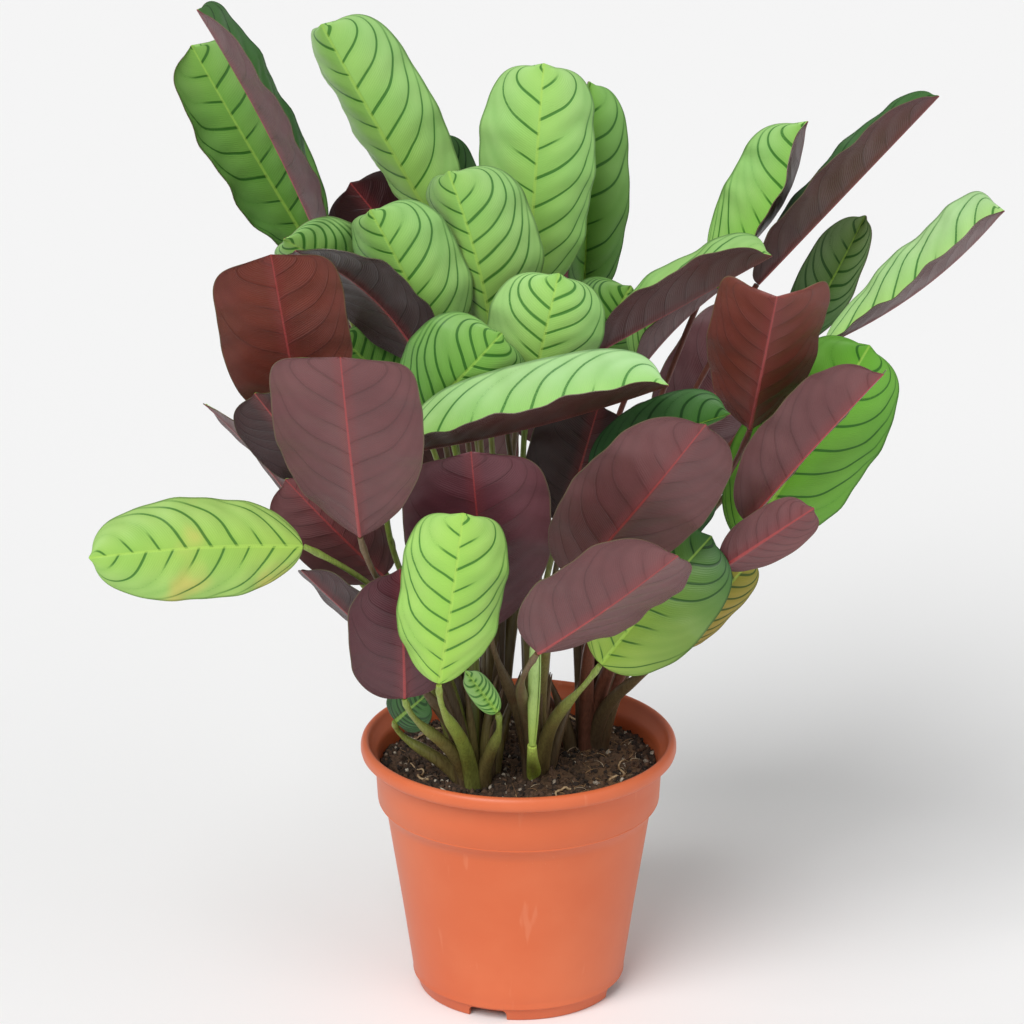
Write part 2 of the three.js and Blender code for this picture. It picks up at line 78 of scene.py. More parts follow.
# One row a leaf: name, shoot, neck (foot of the blade), tip, width, then its shape:
# turn about the neck-tip line, bow and sweep of the midrib, (fold, curl) of each
# half, and blunt, belly and notch of the outline; tone names its colours.
LEAVES = [
    ("leaf_01", "left", (-77, 28, 286), (-119, 16, 367), 40,
     dict(turn=-5, bow=0.02, left=(25, -60), right=(10, 10), blunt=4.5, tone="green")),
    ("leaf_02", "left", (-72, -2, 297), (-114, -26, 392), 40,
     dict(turn=90, bow=0.02, left=(33, 0), right=(22, 0), tone="deep")),
    ("leaf_03", "back", (-29, 15, 296), (-71, 5, 378), 46,
     dict(bow=0.03, left=(-30, 60), right=(-5, 20), blunt=3.6, tone="fresh")),
    ("leaf_04", "back", (3, 8, 271), (9, 2, 364), 47,
     dict(turn=-4, bow=0.05, left=(-5, 30), right=(-5, 40), blunt=3.4, tone="fresh")),
    ("leaf_05", "back", (24, 36, 262), (26, 34, 348), 32,
     dict(turn=35, bow=0.05, sweep=-0.03, left=(35, 10), right=(50, 40), tone="green")),
    ("leaf_06", "centre", (-10, -20, 269), (-25, -30, 333), 50,
     dict(bow=0.05, sweep=0.03, left=(-25, 60), right=(0, 30), tone="fresh")),
    ("leaf_07", "left", (-30, -25, 264), (-53, -38, 321), 46,
     dict(bow=0.05, sweep=0.03, left=(-20, 50), right=(0, 35), tone="fresh")),
    ("leaf_08", "back", (-15, 4, 256), (-34, 0, 310), 46,
     dict(turn=35, bow=0.05, left=(-10, 30), right=(-10, 30), tone="deep")),
    ("leaf_09", "left", (-55, -8, 291), (-84, -26, 307), 36,
     dict(turn=-25, bow=0.08, left=(0, 40), right=(0, 30), tone="fresh")),
    ("leaf_10", "back", (-31, 36, 268), (-62, 38, 308), 40,
     dict(turn=180, bow=0.02, left=(5, 10), right=(5, 10), tone="shade")),
    ("leaf_11", "left", (-79, -28, 235), (-88, -62, 312), 47,
     dict(turn=184, bow=-0.04, left=(0, 15), right=(0, 15), blunt=6, belly=1.25, tone="red")),
    ("leaf_12", "left", (-35, -28, 261), (-79, -50, 310), 44,
     dict(turn=140, bow=0.1, left=(10, 20), right=(10, 20), tone="shade")),
    ("leaf_13", "left", (-57, -80, 213), (-62, -116, 292), 54,
     dict(turn=180, bow=-0.04, left=(0, 15), right=(20, 15), blunt=6, belly=1.45, tone="mauve")),
    ("leaf_14", "left", (-71, -42, 220), (-94, -62, 260), 32,
     dict(turn=165, left=(5, 20), right=(5, 20), tone="shade")),
    ("leaf_15", "left", (-82, -22, 203), (-113, -40, 248), 24,
     dict(turn=118, bow=0.03, left=(10, 10), right=(10, 10), tone="pale")),
    ("leaf_16", "left", (-50, -34, 180), (-84, -48, 222), 34,
     dict(turn=178, bow=-0.03, left=(0, 20), right=(0, 20), tone="mauve")),
    ("leaf_17", "left", (-78, -70, 205), (-152, -94, 210), 38,
     dict(turn=22, bow=0.06, sweep=0.02, left=(0, 20), right=(0, 30), blunt=2.4, tone="yellowing")),
    ("leaf_18", "left", (-44, -52, 153), (-78, -62, 192), 30,
     dict(turn=130, left=(20, 10), right=(20, 10), tone="shade")),
    ("leaf_19", "left", (-39, -13, 239), (-65, -18, 267), 40,
     dict(left=(0, 30), right=(0, 30), tone="green")),
    ("leaf_20", "left", (-37, -46, 245), (-7, -54, 280), 46,
     dict(bow=0.05, left=(0, 30), right=(0, 30), tone="green")),
    ("leaf_21", "left", (-40, -60, 238), (52, -72, 267), 46,
     dict(turn=-71, bow=-0.03, left=(56, 10), right=(55, 0), belly=0.8, tone="pale")),
    ("leaf_22", "centre", (3, -36, 247), (14, -44, 299), 44,
     dict(bow=0.06, left=(0, 30), right=(0, 30), tone="fresh")),
    ("leaf_23", "right", (26, 15, 249), (41, 12, 276), 36,
     dict(bow=0.05, left=(0, 30), right=(0, 30), tone="green")),
    ("leaf_24", "centre", (30, -25, 265), (90, -34, 303), 44,
     dict(turn=-90, left=(28, 0), right=(50, 0), tone="fresh")),
    ("leaf_25", "right", (45, -2, 250), (74, -4, 281), 38,
     dict(turn=-75, bow=0.04, left=(48, 0), right=(48, 0), tone="fresh")),
    ("leaf_26", "right", (72, 14, 283), (105, 10, 340), 44,
     dict(bow=0.02, sweep=0.13, left=(0, 20), right=(112, 10), blunt=3.4, tone="fresh")),
    ("leaf_27", "right", (88, 0, 282), (151, -8, 355), 38,
     dict(turn=-90, left=(30, 0), right=(52, 0), blunt=2.3, tone="deep")),
    ("leaf_28", "right", (105, 18, 255), (128, 22, 300), 27,
     dict(bow=0.05, left=(10, 0), right=(60, 0), blunt=2.2, tone="dull")),
    ("leaf_29", "right", (112, -18, 265), (174, -28, 318), 42,
     dict(turn=-90, bow=-0.06, left=(34, 0), right=(28, 0), blunt=4, belly=1.35, tone="pale")),
    ("leaf_30", "right", (84, -44, 241), (91, -76, 301), 44,
     dict(turn=184, left=(15, -15), right=(15, -15), blunt=6, belly=1.2, notch=0.12, tone="red")),
    ("leaf_31", "right", (83, -56, 209), (129, -70, 270), 42,
     dict(turn=180, bow=0.02, left=(75, 0), right=(5, 20), tone="mauve")),
    ("leaf_32", "right", (83, -28, 190), (127, -30, 267), 50,
     dict(turn=-5, bow=0.05, left=(0, 20), right=(0, 25), tone="lush")),
    ("leaf_33", "right", (103, -3, 235), (120, -5, 261), 24,
     dict(bow=0.05, left=(20, 0), right=(20, 0), tone="lush")),
    ("leaf_34", "right", (74, -62, 194), (105, -72, 220), 22,
     dict(turn=180, left=(20, 10), right=(10, 10), tone="mauve")),
    ("leaf_35", "right", (56, -30, 149), (85, -38, 187), 20,
     dict(bow=0.03, left=(0, 30), right=(0, 30), tone="orange")),
    ("leaf_36", "centre", (30, -62, 156), (69, -62, 205), 44,
     dict(turn=-5, bow=0.06, sweep=-0.02, left=(0, 30), right=(30, 30), tone="olive")),
    ("leaf_37", "right", (38, -55, 193), (65, -48, 230), 36,
     dict(bow=0.05, left=(0, 30), right=(0, 30), tone="deep")),
    ("leaf_38", "centre", (20, -70, 193), (65, -98, 261), 52,
     dict(turn=180, bow=-0.04, left=(30, 20), right=(0, 20), blunt=2.6, tone="mauve")),
    ("leaf_39", "centre", (7, -88, 171), (55, -112, 217), 50,
     dict(turn=182, bow=-0.04, left=(50, 10), right=(0, 20), belly=0.9, tone="mauve")),
    ("leaf_40", "centre", (-11, -52, 166), (-17, -80, 244), 54,
     dict(turn=180, bow=-0.04, left=(0, 15), right=(0, 15), blunt=4.5, belly=1.5, tone="plum")),
    ("leaf_41", "left", (-29, -76, 154), (-20, -92, 225), 40,
     dict(turn=3, bow=0.05, left=(-5, 25), right=(-5, 25), blunt=3.6, tone="bright")),
    ("leaf_42", "left", (-42, -60, 142), (-43, -72, 196), 42,
     dict(turn=190, bow=-0.03, left=(0, 20), right=(0, 20), tone="plum")),
    ("leaf_43", "centre", (27, -42, 221), (75, -58, 251), 30,
     dict(turn=-60, bow=0.06, left=(45, 10), right=(45, 0), tone="deep")),
    ("leaf_44", "centre", (17, -18, 195), (29, -34, 246), 42,
     dict(turn=175, left=(0, 20), right=(0, 20), tone="shade")),
    ("leaf_45", "left", (-8, -48, 131), (-19, -56, 150), 10,
     dict(turn=20, left=(20, 10), right=(20, 10), tone="fresh")),
    ("leaf_46", "left", (-46, -30, 120), (-35, -40, 134), 18,
     dict(turn=-20, bow=0.05, left=(10, 10), right=(10, 10), tone="deep")),
    ("leaf_47", "back", (-27, 46, 273), (-33, 46, 325), 34,
     dict(bow=0.05, left=(0, 30), right=(0, 30), tone="deep")),
    ("leaf_48", "back", (10, 62, 196), (16, 92, 262), 50,
     dict(turn=178, bow=0.05, left=(0, 20), right=(0, 20), tone="green")),
    ("leaf_49", "back", (-46, 54, 188), (-74, 84, 250), 48,
     dict(turn=190, bow=0.05, left=(0, 20), right=(0, 20), tone="deep")),
    ("leaf_50", "right", (58, 48, 186), (92, 76, 246), 46,
     dict(turn=170, bow=0.05, left=(0, 20), right=(0, 20), tone="green")),
    ("leaf_51", "back", (-14, 72, 168), (-28, 108, 214), 44,
     dict(turn=186, bow=0.06, left=(0, 25), right=(0, 25), tone="lush")),
    ("leaf_52", "right", (40, 66, 158), (62, 104, 196), 40,
     dict(turn=176, bow=0.06, left=(0, 25), right=(0, 25), tone="green")),
]

# tone: colour of the upper side at the neck, the same at the tip, the underside
TONES = {
    "fresh": ((0.32, 0.56, 0.15), (0.36, 0.60, 0.21), (0.15, 0.05, 0.05)),
    "green": ((0.12, 0.28, 0.06), (0.24, 0.45, 0.12), (0.12, 0.04, 0.045)),
    # this tone is a dark green leaf colour darkened further by painted shade, for leaves that lie in
    # shadow
    "deep": ((0.030, 0.095, 0.030), (0.065, 0.17, 0.045), (0.11, 0.036, 0.040)),
    "lush": ((0.17, 0.40, 0.045), (0.13, 0.34, 0.04), (0.13, 0.04, 0.04)),
    "bright": ((0.40, 0.66, 0.13), (0.40, 0.66, 0.17), (0.15, 0.05, 0.05)),
    "pale": ((0.36, 0.58, 0.21), (0.46, 0.68, 0.34), (0.085, 0.022, 0.020)),
    "dull": ((0.07, 0.16, 0.06), (0.22, 0.31, 0.13), (0.12, 0.05, 0.05)),
    "olive": ((0.34, 0.47, 0.09), (0.045, 0.13, 0.035), (0.13, 0.05, 0.045)),
    "yellowing": ((0.38, 0.55, 0.13), (0.34, 0.55, 0.15), (0.22, 0.15, 0.07)),
    "orange": ((0.42, 0.27, 0.05), (0.36, 0.30, 0.05), (0.28, 0.14, 0.05)),
    # the red tone's underside is a maroon brightened by painted light shining through the blade
    "red": ((0.12, 0.27, 0.06), (0.15, 0.30, 0.08), (0.165, 0.032, 0.020)),
    "mauve": ((0.16, 0.34, 0.08), (0.20, 0.38, 0.10), (0.165, 0.058, 0.060)),
    "plum": ((0.12, 0.27, 0.07), (0.16, 0.32, 0.09), (0.115, 0.032, 0.042)),
    "shade": ((0.04, 0.10, 0.03), (0.05, 0.12, 0.04), (0.045, 0.012, 0.014)),
}

# side veins leave the midrib at a slant and sweep forward towards the margin
VEIN_START, VEIN_SWEEP = 0.52, 0.95

MUCRO_MM, MUCRO_REACH_MM, MUCRO_START = 1.5, 1.4, 0.965
WAVE_MM, RIPPLE_MM = 31, 13
RIB_HALF_MM, RIB_GROOVE_MM, RIB_RAISED_MM = 1.15, 0.28, 0.62

BLADE_STATIONS = 60
BLADE_HALF_STEPS = 14

# pot outline, (radius, height) from the foot up the outside and down the inside
POT_OUTER = [
    (0, 5.4), (20, 5.4), (36.0, 5.4), (36.4, 4.8), (36.6, 0.9), (36.8, 0.3), (37.2, 0.0),
    (37.7, 0.0), (38.1, 0.25), (38.4, 0.8), (38.95, 4.7), (39.2, 5.1), (40.2, 5.2),
    (40.55, 5.5), (40.65, 6.1), (40.5, 6.6), (40.75, 8.4), (44.5, 34.3), (50.1, 70.6),
    (50.3, 71.6), (50.8, 72.9), (51.6, 74.3), (52.6, 75.6), (53.3, 76.4), (53.55, 76.9),
    (53.45, 77.3), (53.7, 77.7), (54.2, 86), (54.65, 94.4), (54.9, 94.9), (55.5, 95.1),
    (58.3, 95.1), (59.1, 95.4), (59.7, 96.1), (60.0, 97.2), (60.0, 98.6), (59.7, 99.8),
    (59.1, 100.6), (58.3, 101.0), (57.6, 100.9),
]
POT_INNER = [
    (57.0, 100.3), (56.6, 99.4), (55.6, 97.6), (54.2, 95.9), (53.4, 94.6), (53.1, 92.6),
    (52.7, 86), (52.3, 78.6), (51.9, 77.3), (50.6, 75.6), (49.5, 73.9), (48.9, 72.4),
    (48.7, 71.2), (43.1, 34.6), (39.3, 8.6), (38.9, 7.4), (38.0, 7.0), (16, 7.0), (0, 7.0),
]
POT_SEGMENTS = 160
NOTCHES = 4
NOTCH_TURN = math.radians(-18)
NOTCH_HALF_MM, NOTCH_TALL_MM = 7.5, 4.2

# where the camera stands about the pot's axis, how far it looks down, and its lens
CAMERA_MM, CAMERA_DIP = (-2.493, -1872.5, 894.8), 0.359
SENSOR_WIDTH, LENS = 36.0, 187.94
FLOOR_HALF = 9.0
KEY_SOURCE, FILL_SOURCE, SKY_STRENGTH = (-0.55, -1.0, 1.15), (1.1, -0.9, 0.7), 0.38

SOIL_SEGMENTS = 120
SOIL_RINGS = 46
SOIL_RADIUS_MM = 52.5


# --------------------------------------------------------------------- settings
class PlantSettings(bpy.types.PropertyGroup):
    leaf_thickness: bpy.props.FloatProperty(
        name="Leaf thickness", description="Thickness of a blade at its middle",
        default=0.0006, unit="LENGTH")
    vein_spacing: bpy.props.FloatProperty(
        name="Vein spacing", description="Gap between side veins as a share of the blade's length",
        default=0.122, subtype="FACTOR", min=0.05, max=0.4)
    margin_wave: bpy.props.FloatProperty(
        name="Margin wave", description="Height of the gentle waves along a leaf's margin",
        default=0.0009, unit="LENGTH")
    pot_color: bpy.props.FloatVectorProperty(
        name="Pot", description="Colour of the pot's plastic", subtype="COLOR", size=3,
        default=(0.62, 0.125, 0.040), min=0, max=1)
    midrib_color: bpy.props.FloatVectorProperty(
        name="Midrib", description="Colour of the midrib on the upper side",
        subtype="COLOR", size=3, default=(0.42, 0.66, 0.10), min=0, max=1)
    rib_under_color: bpy.props.FloatVectorProperty(
        name="Midrib beneath", description="Colour of the midrib on the underside",
        subtype="COLOR", size=3, default=(0.36, 0.050, 0.050), min=0, max=1)
    crumbs: bpy.props.IntProperty(
        name="Soil crumbs", description="Number of crumbs of peat on the soil",
        default=2300, min=0)
    fibres: bpy.props.IntProperty(
        name="Coir fibres", description="Number of coir fibres on the soil",
        default=950, min=0)
    seed: bpy.props.IntProperty(
        name="Seed", description="Fixes everything scattered or varied", default=7)


def settings():
    return bpy.context.scene.plant_settings


# ----------------------------------------------------------------- mesh helpers
def to_world(points_mm):
    """Points in millimetres about the pot's axis, as metres in the frame."""
    return np.asarray(points_mm, float) * MM + AXIS


def new_object(name, points, faces, smooth_angle=40):
    mesh = bpy.data.meshes.new(name)
    mesh.from_pydata([tuple(p) for p in points], [], [tuple(int(i) for i in f) for f in faces])
    mesh.polygons.foreach_set("use_smooth", [True] * len(mesh.polygons))
    mesh.set_sharp_from_angle(angle=math.radians(smooth_angle))
    mesh.update()
    obj = bpy.data.objects.new(name, mesh)
    bpy.context.collection.objects.link(obj)
    return obj


def hand_over(obj, node):
    """The piece moves with the plant and stands for its node."""
    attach(obj, ROOT)
    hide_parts(node)
    return obj


def loft_faces(rings, size, start=0):
    """Faces over rings of equal size with a pole before and after them."""
    faces = []
    first, end = start, start + 1 + rings * size
    for k in range(size):
        nxt = (k + 1) % size
        faces.append((first, start + 1 + nxt, start + 1 + k))
        for r in range(rings - 1):
            a = start + 1 + r * size
            b = a + size
            faces.append((a + k, a + nxt, b + nxt, b + k))
        a = start + 1 + (rings - 1) * size
        faces.append((end, a + k, a + nxt))
    return faces


def add_value(mesh, name, values):
    layer = mesh.attributes.new(name, "FLOAT", "POINT")
    layer.data.foreach_set("value", np.asarray(values, np.float32).ravel())


def add_color(mesh, name, values):
    layer = mesh.attributes.new(name, "FLOAT_COLOR", "POINT")
    rgba = np.ones((len(values), 4), np.float32)
    rgba[:, :3] = values
    layer.data.foreach_set("color", rgba.ravel())


def revolve(profile, segments):
    """Points and faces of a body of revolution; the profile starts and ends on the axis."""
    turns = np.linspace(0, 2 * math.pi, segments, endpoint=False)
    points = [(0, 0, profile[0][1])]
    for r, z in profile[1:-1]:
        points += [(r * math.cos(a), r * math.sin(a), z) for a in turns]
    points.append((0, 0, profile[-1][1]))
    return np.array(points, float), loft_faces(len(profile) - 2, segments)


# ------------------------------------------------------------- material helpers
class Shader:
    """A node tree with short names for the nodes this plant's finishes need."""

    def __init__(self, name):
        self.material = bpy.data.materials.new(name)
        self.material.use_nodes = True
        self.tree = self.material.node_tree
        self.bsdf = self.tree.nodes["Principled BSDF"]

    def node(self, kind, **props):
        made = self.tree.nodes.new(kind)
        for key, value in props.items():
            setattr(made, key, value)
        return made

    def feed(self, socket, value):
        if isinstance(value, bpy.types.NodeSocket):
            self.tree.links.new(value, socket)
        elif isinstance(value, tuple) and len(value) == 3 and socket.type == "RGBA":
            socket.default_value = (*value, 1.0)
        else:
            socket.default_value = value

    def math(self, op, a, b=None, c=None, clamp=False):
        n = self.node("ShaderNodeMath", operation=op, use_clamp=clamp)
        for socket, value in zip(n.inputs, (a, b, c)):
            if value is not None:
                self.feed(socket, value)
        return n.outputs[0]

    def step(self, value, low, high, first=0.0, last=1.0):
        n = self.node("ShaderNodeMapRange", interpolation_type="SMOOTHSTEP")
        for socket, v in zip(n.inputs[:5], (value, low, high, first, last)):
            self.feed(socket, v)
        return n.outputs[0]

    def mix(self, share, a, b, blend="MIX"):
        n = self.node("ShaderNodeMix", data_type="RGBA", blend_type=blend)
        self.feed(n.inputs[0], share)
        self.feed(n.inputs[6], a)
        self.feed(n.inputs[7], b)
        return n.outputs[2]

    def tint(self, share, base, factor):
        """The base colour, with that share of it multiplied by the factor."""
        return self.mix(share, base, self.mix(1.0, base, factor, "MULTIPLY"))

    def value(self, name):
        return self.node("ShaderNodeAttribute", attribute_name=name).outputs["Fac"]

    def color(self, name):
        return self.node("ShaderNodeAttribute", attribute_name=name).outputs["Color"]

    def place(self):
        return self.node("ShaderNodeTexCoord").outputs["Object"]

    def noise(self, scale, detail=3.0, rough=0.55, at=None):
        n = self.node("ShaderNodeTexNoise")
        self.feed(n.inputs["Vector"], at or self.place())
        n.inputs["Scale"].default_value = scale
        n.inputs["Detail"].default_value = detail
        n.inputs["Roughness"].default_value = rough
        return n.outputs["Fac"]

    def cells(self, scale, feature="F1", at=None):
        n = self.node("ShaderNodeTexVoronoi", feature=feature)
        self.feed(n.inputs["Vector"], at or self.place())
        n.inputs["Scale"].default_value = scale
        return n.outputs["Distance"]

    def bump(self, height, strength, distance, below=None):
        n = self.node("ShaderNodeBump")
        n.inputs["Strength"].default_value = strength
        n.inputs["Distance"].default_value = distance
        self.feed(n.inputs["Height"], height)
        if below is not None:
            self.feed(n.inputs["Normal"], below)
        return n.outputs["Normal"]

    def set(self, **inputs):
        for key, value in inputs.items():
            self.feed(self.bsdf.inputs[key.replace("_", " ")], value)


def vein_lines(sh, fine_width):
    """Masks of the side veins, some long and some short, their halo and the striping."""
    across = sh.value("across")
    q = sh.math("ABSOLUTE", across)
    side = sh.math("GREATER_THAN", across, 0.0)
    reach = sh.math("ABSOLUTE", sh.value("reach"))
    spacing, seed = sh.value("spacing"), sh.value("leaf_seed")
    power = sh.math("POWER", reach, 4.0)
    rise = sh.math("MULTIPLY_ADD", power, VEIN_SWEEP, VEIN_START)
    lag = sh.math("MULTIPLY", sh.math("MULTIPLY", reach, rise), sh.value("half_width"))
    slope = sh.math("MULTIPLY_ADD", power, 5 * VEIN_SWEEP, VEIN_START)
    steep = sh.math("SQRT", sh.math("MULTIPLY_ADD", slope, slope, 1.0))
    wobble = sh.math("MULTIPLY_ADD", sh.noise(60.0, 1.0), 2.4, -1.2)
    run = sh.math("ADD", sh.math("SUBTRACT", sh.value("along"), lag), wobble)
    cell = sh.math("ADD", sh.math("DIVIDE", run, spacing),
                   sh.math("MULTIPLY_ADD", side, 0.5, seed))
    off = sh.math("ABSOLUTE", sh.math("SUBTRACT", sh.math("FRACT", cell), 0.5))
    away = sh.math("DIVIDE", sh.math("MULTIPLY", off, spacing), steep)
    dice = sh.node("ShaderNodeTexWhiteNoise", noise_dimensions="1D")
    sh.feed(dice.inputs["W"], sh.math("ADD", sh.math("FLOOR", cell),
                                      sh.math("MULTIPLY_ADD", side, 57.3,
                                              sh.math("MULTIPLY", seed, 91.7))))
    chance = dice.outputs["Value"]
    short = sh.math("MULTIPLY", sh.math("LESS_THAN", chance, 0.36),
                    sh.step(reach, 0.20, 0.46))
    taper = sh.step(reach, 0.15, 0.95, 1.0, 0.42)
    width = sh.math("MULTIPLY", taper, sh.math("MULTIPLY_ADD", chance, fine_width * 0.7,
                                               fine_width * 0.6))
    line = sh.step(away, width, sh.math("ADD", width, 0.30), 1.0, 0.0)
    line = sh.math("MULTIPLY", line, sh.math("SUBTRACT", 1.0, short, clamp=True), clamp=True)
    line = sh.math("MULTIPLY", line, sh.step(reach, 0.78, 1.0, 1.0, 0.30))
    halo = sh.step(away, 0.0, 2.6, 1.0, 0.0)
    stripes = sh.math("SINE", sh.math("MULTIPLY", run, 2 * math.pi / 0.9))
    return q, reach, line, halo, stripes


def upper_finish():
    sh = Shader("leaf upper side")
    q, reach, line, halo, stripes = vein_lines(sh, 0.34)
    base = sh.color("upper")
    near = sh.step(reach, 0.05, 0.85, 0.75, 0.0)
    base = sh.tint(near, base, (0.92, 1.0, 0.58))
    patch = sh.noise(42.0, 2.0)
    base = sh.tint(sh.step(patch, 0.35, 0.7, 0.0, 0.45), base, (0.70, 0.86, 0.72))
    yellow = sh.math("MULTIPLY", sh.value("yellow"), sh.step(sh.noise(32.0, 2.0), 0.50, 0.68))
    base = sh.mix(yellow, base, (0.62, 0.50, 0.13))
    base = sh.tint(sh.math("MULTIPLY", halo, 0.20), base, (0.50, 0.70, 0.42))
    base = sh.tint(sh.math("MULTIPLY_ADD", stripes, 0.03, 0.03), base, (0.6, 0.72, 0.6))
    vein = sh.mix(1.0, base, (0.11, 0.30, 0.13), "MULTIPLY")
    base = sh.mix(sh.math("MULTIPLY", line, 0.88), base, vein)
    rib = sh.math("MULTIPLY_ADD", sh.value("share"), -0.40, 0.55)
    rib_mask = sh.step(q, rib, sh.math("ADD", rib, 0.45), 1.0, 0.0)
    rib_color = sh.mix(0.50, tuple(settings().midrib_color), base)
    base = sh.mix(sh.math("MULTIPLY", rib_mask, 0.85), base, rib_color)
    edge = sh.step(reach, 0.95, 0.99)
    base = sh.tint(sh.math("MULTIPLY", edge, 0.65), base, (0.25, 0.30, 0.24))
    rough = sh.math("MULTIPLY_ADD", patch, 0.16, 0.34)
    height = sh.math("MULTIPLY_ADD", line, -0.8, sh.math("MULTIPLY", stripes, 0.14))
    height = sh.math("MULTIPLY_ADD", rib_mask, -0.7, height)
    sh.set(Base_Color=base, Roughness=rough, Normal=sh.bump(height, 0.55, 0.00022))
    sh.bsdf.inputs["IOR"].default_value = 1.42
    sh.bsdf.inputs["Specular IOR Level"].default_value = 0.42
    return sh.material


def under_finish():
    sh = Shader("leaf underside")
    q, reach, line, halo, stripes = vein_lines(sh, 0.22)
    base = sh.color("under")
    patch = sh.noise(30.0, 3.0)
    base = sh.tint(sh.step(patch, 0.3, 0.75, 0.0, 0.6), base, (0.60, 0.46, 0.50))
    # painted sheen: the underside turns paler and greyer towards the margins, where its satin shine
    # shows
    painted_sheen = sh.math("MULTIPLY", sh.step(reach, 0.35, 1.0),
                    sh.step(sh.noise(22.0, 2.0), 0.42, 0.66, 0.0, 0.42))
    base = sh.tint(painted_sheen, base, (1.35, 1.75, 1.60))
    base = sh.tint(sh.math("MULTIPLY", halo, 0.25), base, (0.62, 0.50, 0.52))
    base = sh.tint(sh.math("MULTIPLY", line, 0.35), base, (0.45, 0.32, 0.32))
    base = sh.tint(sh.math("MULTIPLY_ADD", stripes, 0.04, 0.04), base, (0.62, 0.55, 0.55))
    rib = sh.math("MULTIPLY_ADD", sh.value("share"), -0.36, 0.42)
    rib_mask = sh.step(q, rib, sh.math("ADD", rib, 0.30), 1.0, 0.0)
    glow = sh.step(q, 0.4, 5.0, 0.28, 0.0)
    base = sh.mix(glow, base, (0.24, 0.030, 0.035))
    base = sh.mix(sh.math("MULTIPLY", rib_mask, 0.85), base, tuple(settings().rib_under_color))
    edge = sh.step(reach, 0.975, 0.998)
    base = sh.mix(sh.math("MULTIPLY", edge, 0.5), base, (0.13, 0.13, 0.05))
    rough = sh.math("MULTIPLY_ADD", patch, 0.18, 0.32)
    height = sh.math("MULTIPLY_ADD", line, 0.7, sh.math("MULTIPLY", stripes, 0.20))
    sh.set(Base_Color=base, Roughness=rough, Normal=sh.bump(height, 0.6, 0.00022))
    sh.bsdf.inputs["Specular IOR Level"].default_value = 0.5
    sh.bsdf.inputs["Sheen Weight"].default_value = 0.06
    sh.bsdf.inputs["Sheen Roughness"].default_value = 0.35
    sh.bsdf.inputs["Sheen Tint"].default_value = (0.85, 0.72, 0.74, 1.0)
    return sh.material


def pot_finish():
    sh = Shader("moulded terracotta plastic")
    clay = tuple(settings().pot_color)
    cloud = sh.noise(16.0, 4.0)
    base = sh.mix(sh.step(cloud, 0.3, 0.75, 0.0, 0.35), clay, (0.78, 0.235, 0.105))
    place = sh.place()
    split = sh.node("ShaderNodeSeparateXYZ")
    sh.feed(split.inputs[0], place)
    low = sh.step(split.outputs[2], 0.0, 0.014, 0.28, 0.0)
    base = sh.mix(low, base, (0.42, 0.075, 0.03))
    dust = sh.step(sh.cells(620.0), 0.0, 0.085, 1.0, 0.0)
    sparse = sh.step(sh.noise(60.0, 1.0), 0.58, 0.64)
    specks = sh.math("MULTIPLY", dust, sparse)
    base = sh.mix(sh.math("MULTIPLY", specks, 0.5), base, (0.86, 0.60, 0.46))
    scuff_map = sh.node("ShaderNodeMapping")
    sh.feed(scuff_map.inputs[0], place)
    scuff_map.inputs["Scale"].default_value = (1.0, 1.0, 0.12)
    scuffs = sh.step(sh.noise(210.0, 2.0, 0.5, scuff_map.outputs[0]), 0.66, 0.74)
    base = sh.mix(sh.math("MULTIPLY", scuffs, 0.12), base, (0.85, 0.42, 0.26))
    rough = sh.math("MULTIPLY_ADD", cloud, 0.20, 0.32)
    rough = sh.math("MULTIPLY_ADD", scuffs, 0.12, rough)
    grain = sh.noise(1900.0, 2.0)
    normal = sh.bump(grain, 0.10, 0.0002, sh.bump(cloud, 0.25, 0.0008))
    sh.set(Base_Color=base, Roughness=rough, Normal=normal)
    sh.bsdf.inputs["IOR"].default_value = 1.49
    sh.bsdf.inputs["Specular IOR Level"].default_value = 0.45
    return sh.material


def soil_finish():
    sh = Shader("peat and coir")
    fine = sh.noise(420.0, 5.0, 0.65)
    broad = sh.noise(55.0, 3.0)
    base = sh.mix(sh.step(fine, 0.35, 0.7), (0.012, 0.008, 0.006), (0.085, 0.048, 0.028))
    base = sh.mix(sh.step(broad, 0.45, 0.7, 0.0, 0.5), base, (0.13, 0.070, 0.035))
    base = sh.mix(sh.math("MULTIPLY", sh.value("coir"), 0.55), base, (0.22, 0.12, 0.055))
    normal = sh.bump(fine, 0.9, 0.0018, sh.bump(broad, 0.6, 0.003))
    sh.set(Base_Color=base, Roughness=0.93, Normal=normal)
    return sh.material


def crumb_finish():
    sh = Shader("soil crumbs")
    tone = sh.value("crumb_tone")
    base = sh.mix(sh.step(tone, 0.0, 0.8), (0.016, 0.010, 0.007), (0.12, 0.065, 0.035))
    base = sh.mix(sh.step(tone, 0.93, 0.96), base, (0.55, 0.48, 0.38))
    grain = sh.noise(900.0, 3.0)
    base = sh.mix(sh.step(grain, 0.3, 0.8, 0.0, 0.5), base, (0.03, 0.02, 0.014))
    sh.set(Base_Color=base, Roughness=0.9, Normal=sh.bump(grain, 0.7, 0.0008))
    return sh.material


def fibre_finish():
    sh = Shader("coir fibre")
    tone = sh.value("crumb_tone")
    base = sh.mix(sh.step(tone, 0.0, 0.85), (0.10, 0.045, 0.018), (0.42, 0.25, 0.11))
    base = sh.mix(sh.step(tone, 0.90, 0.93), base, (0.62, 0.50, 0.34))
    sh.set(Base_Color=base, Roughness=0.75, Normal=sh.bump(sh.noise(2600.0, 1.0), 0.3, 0.0002))
    return sh.material


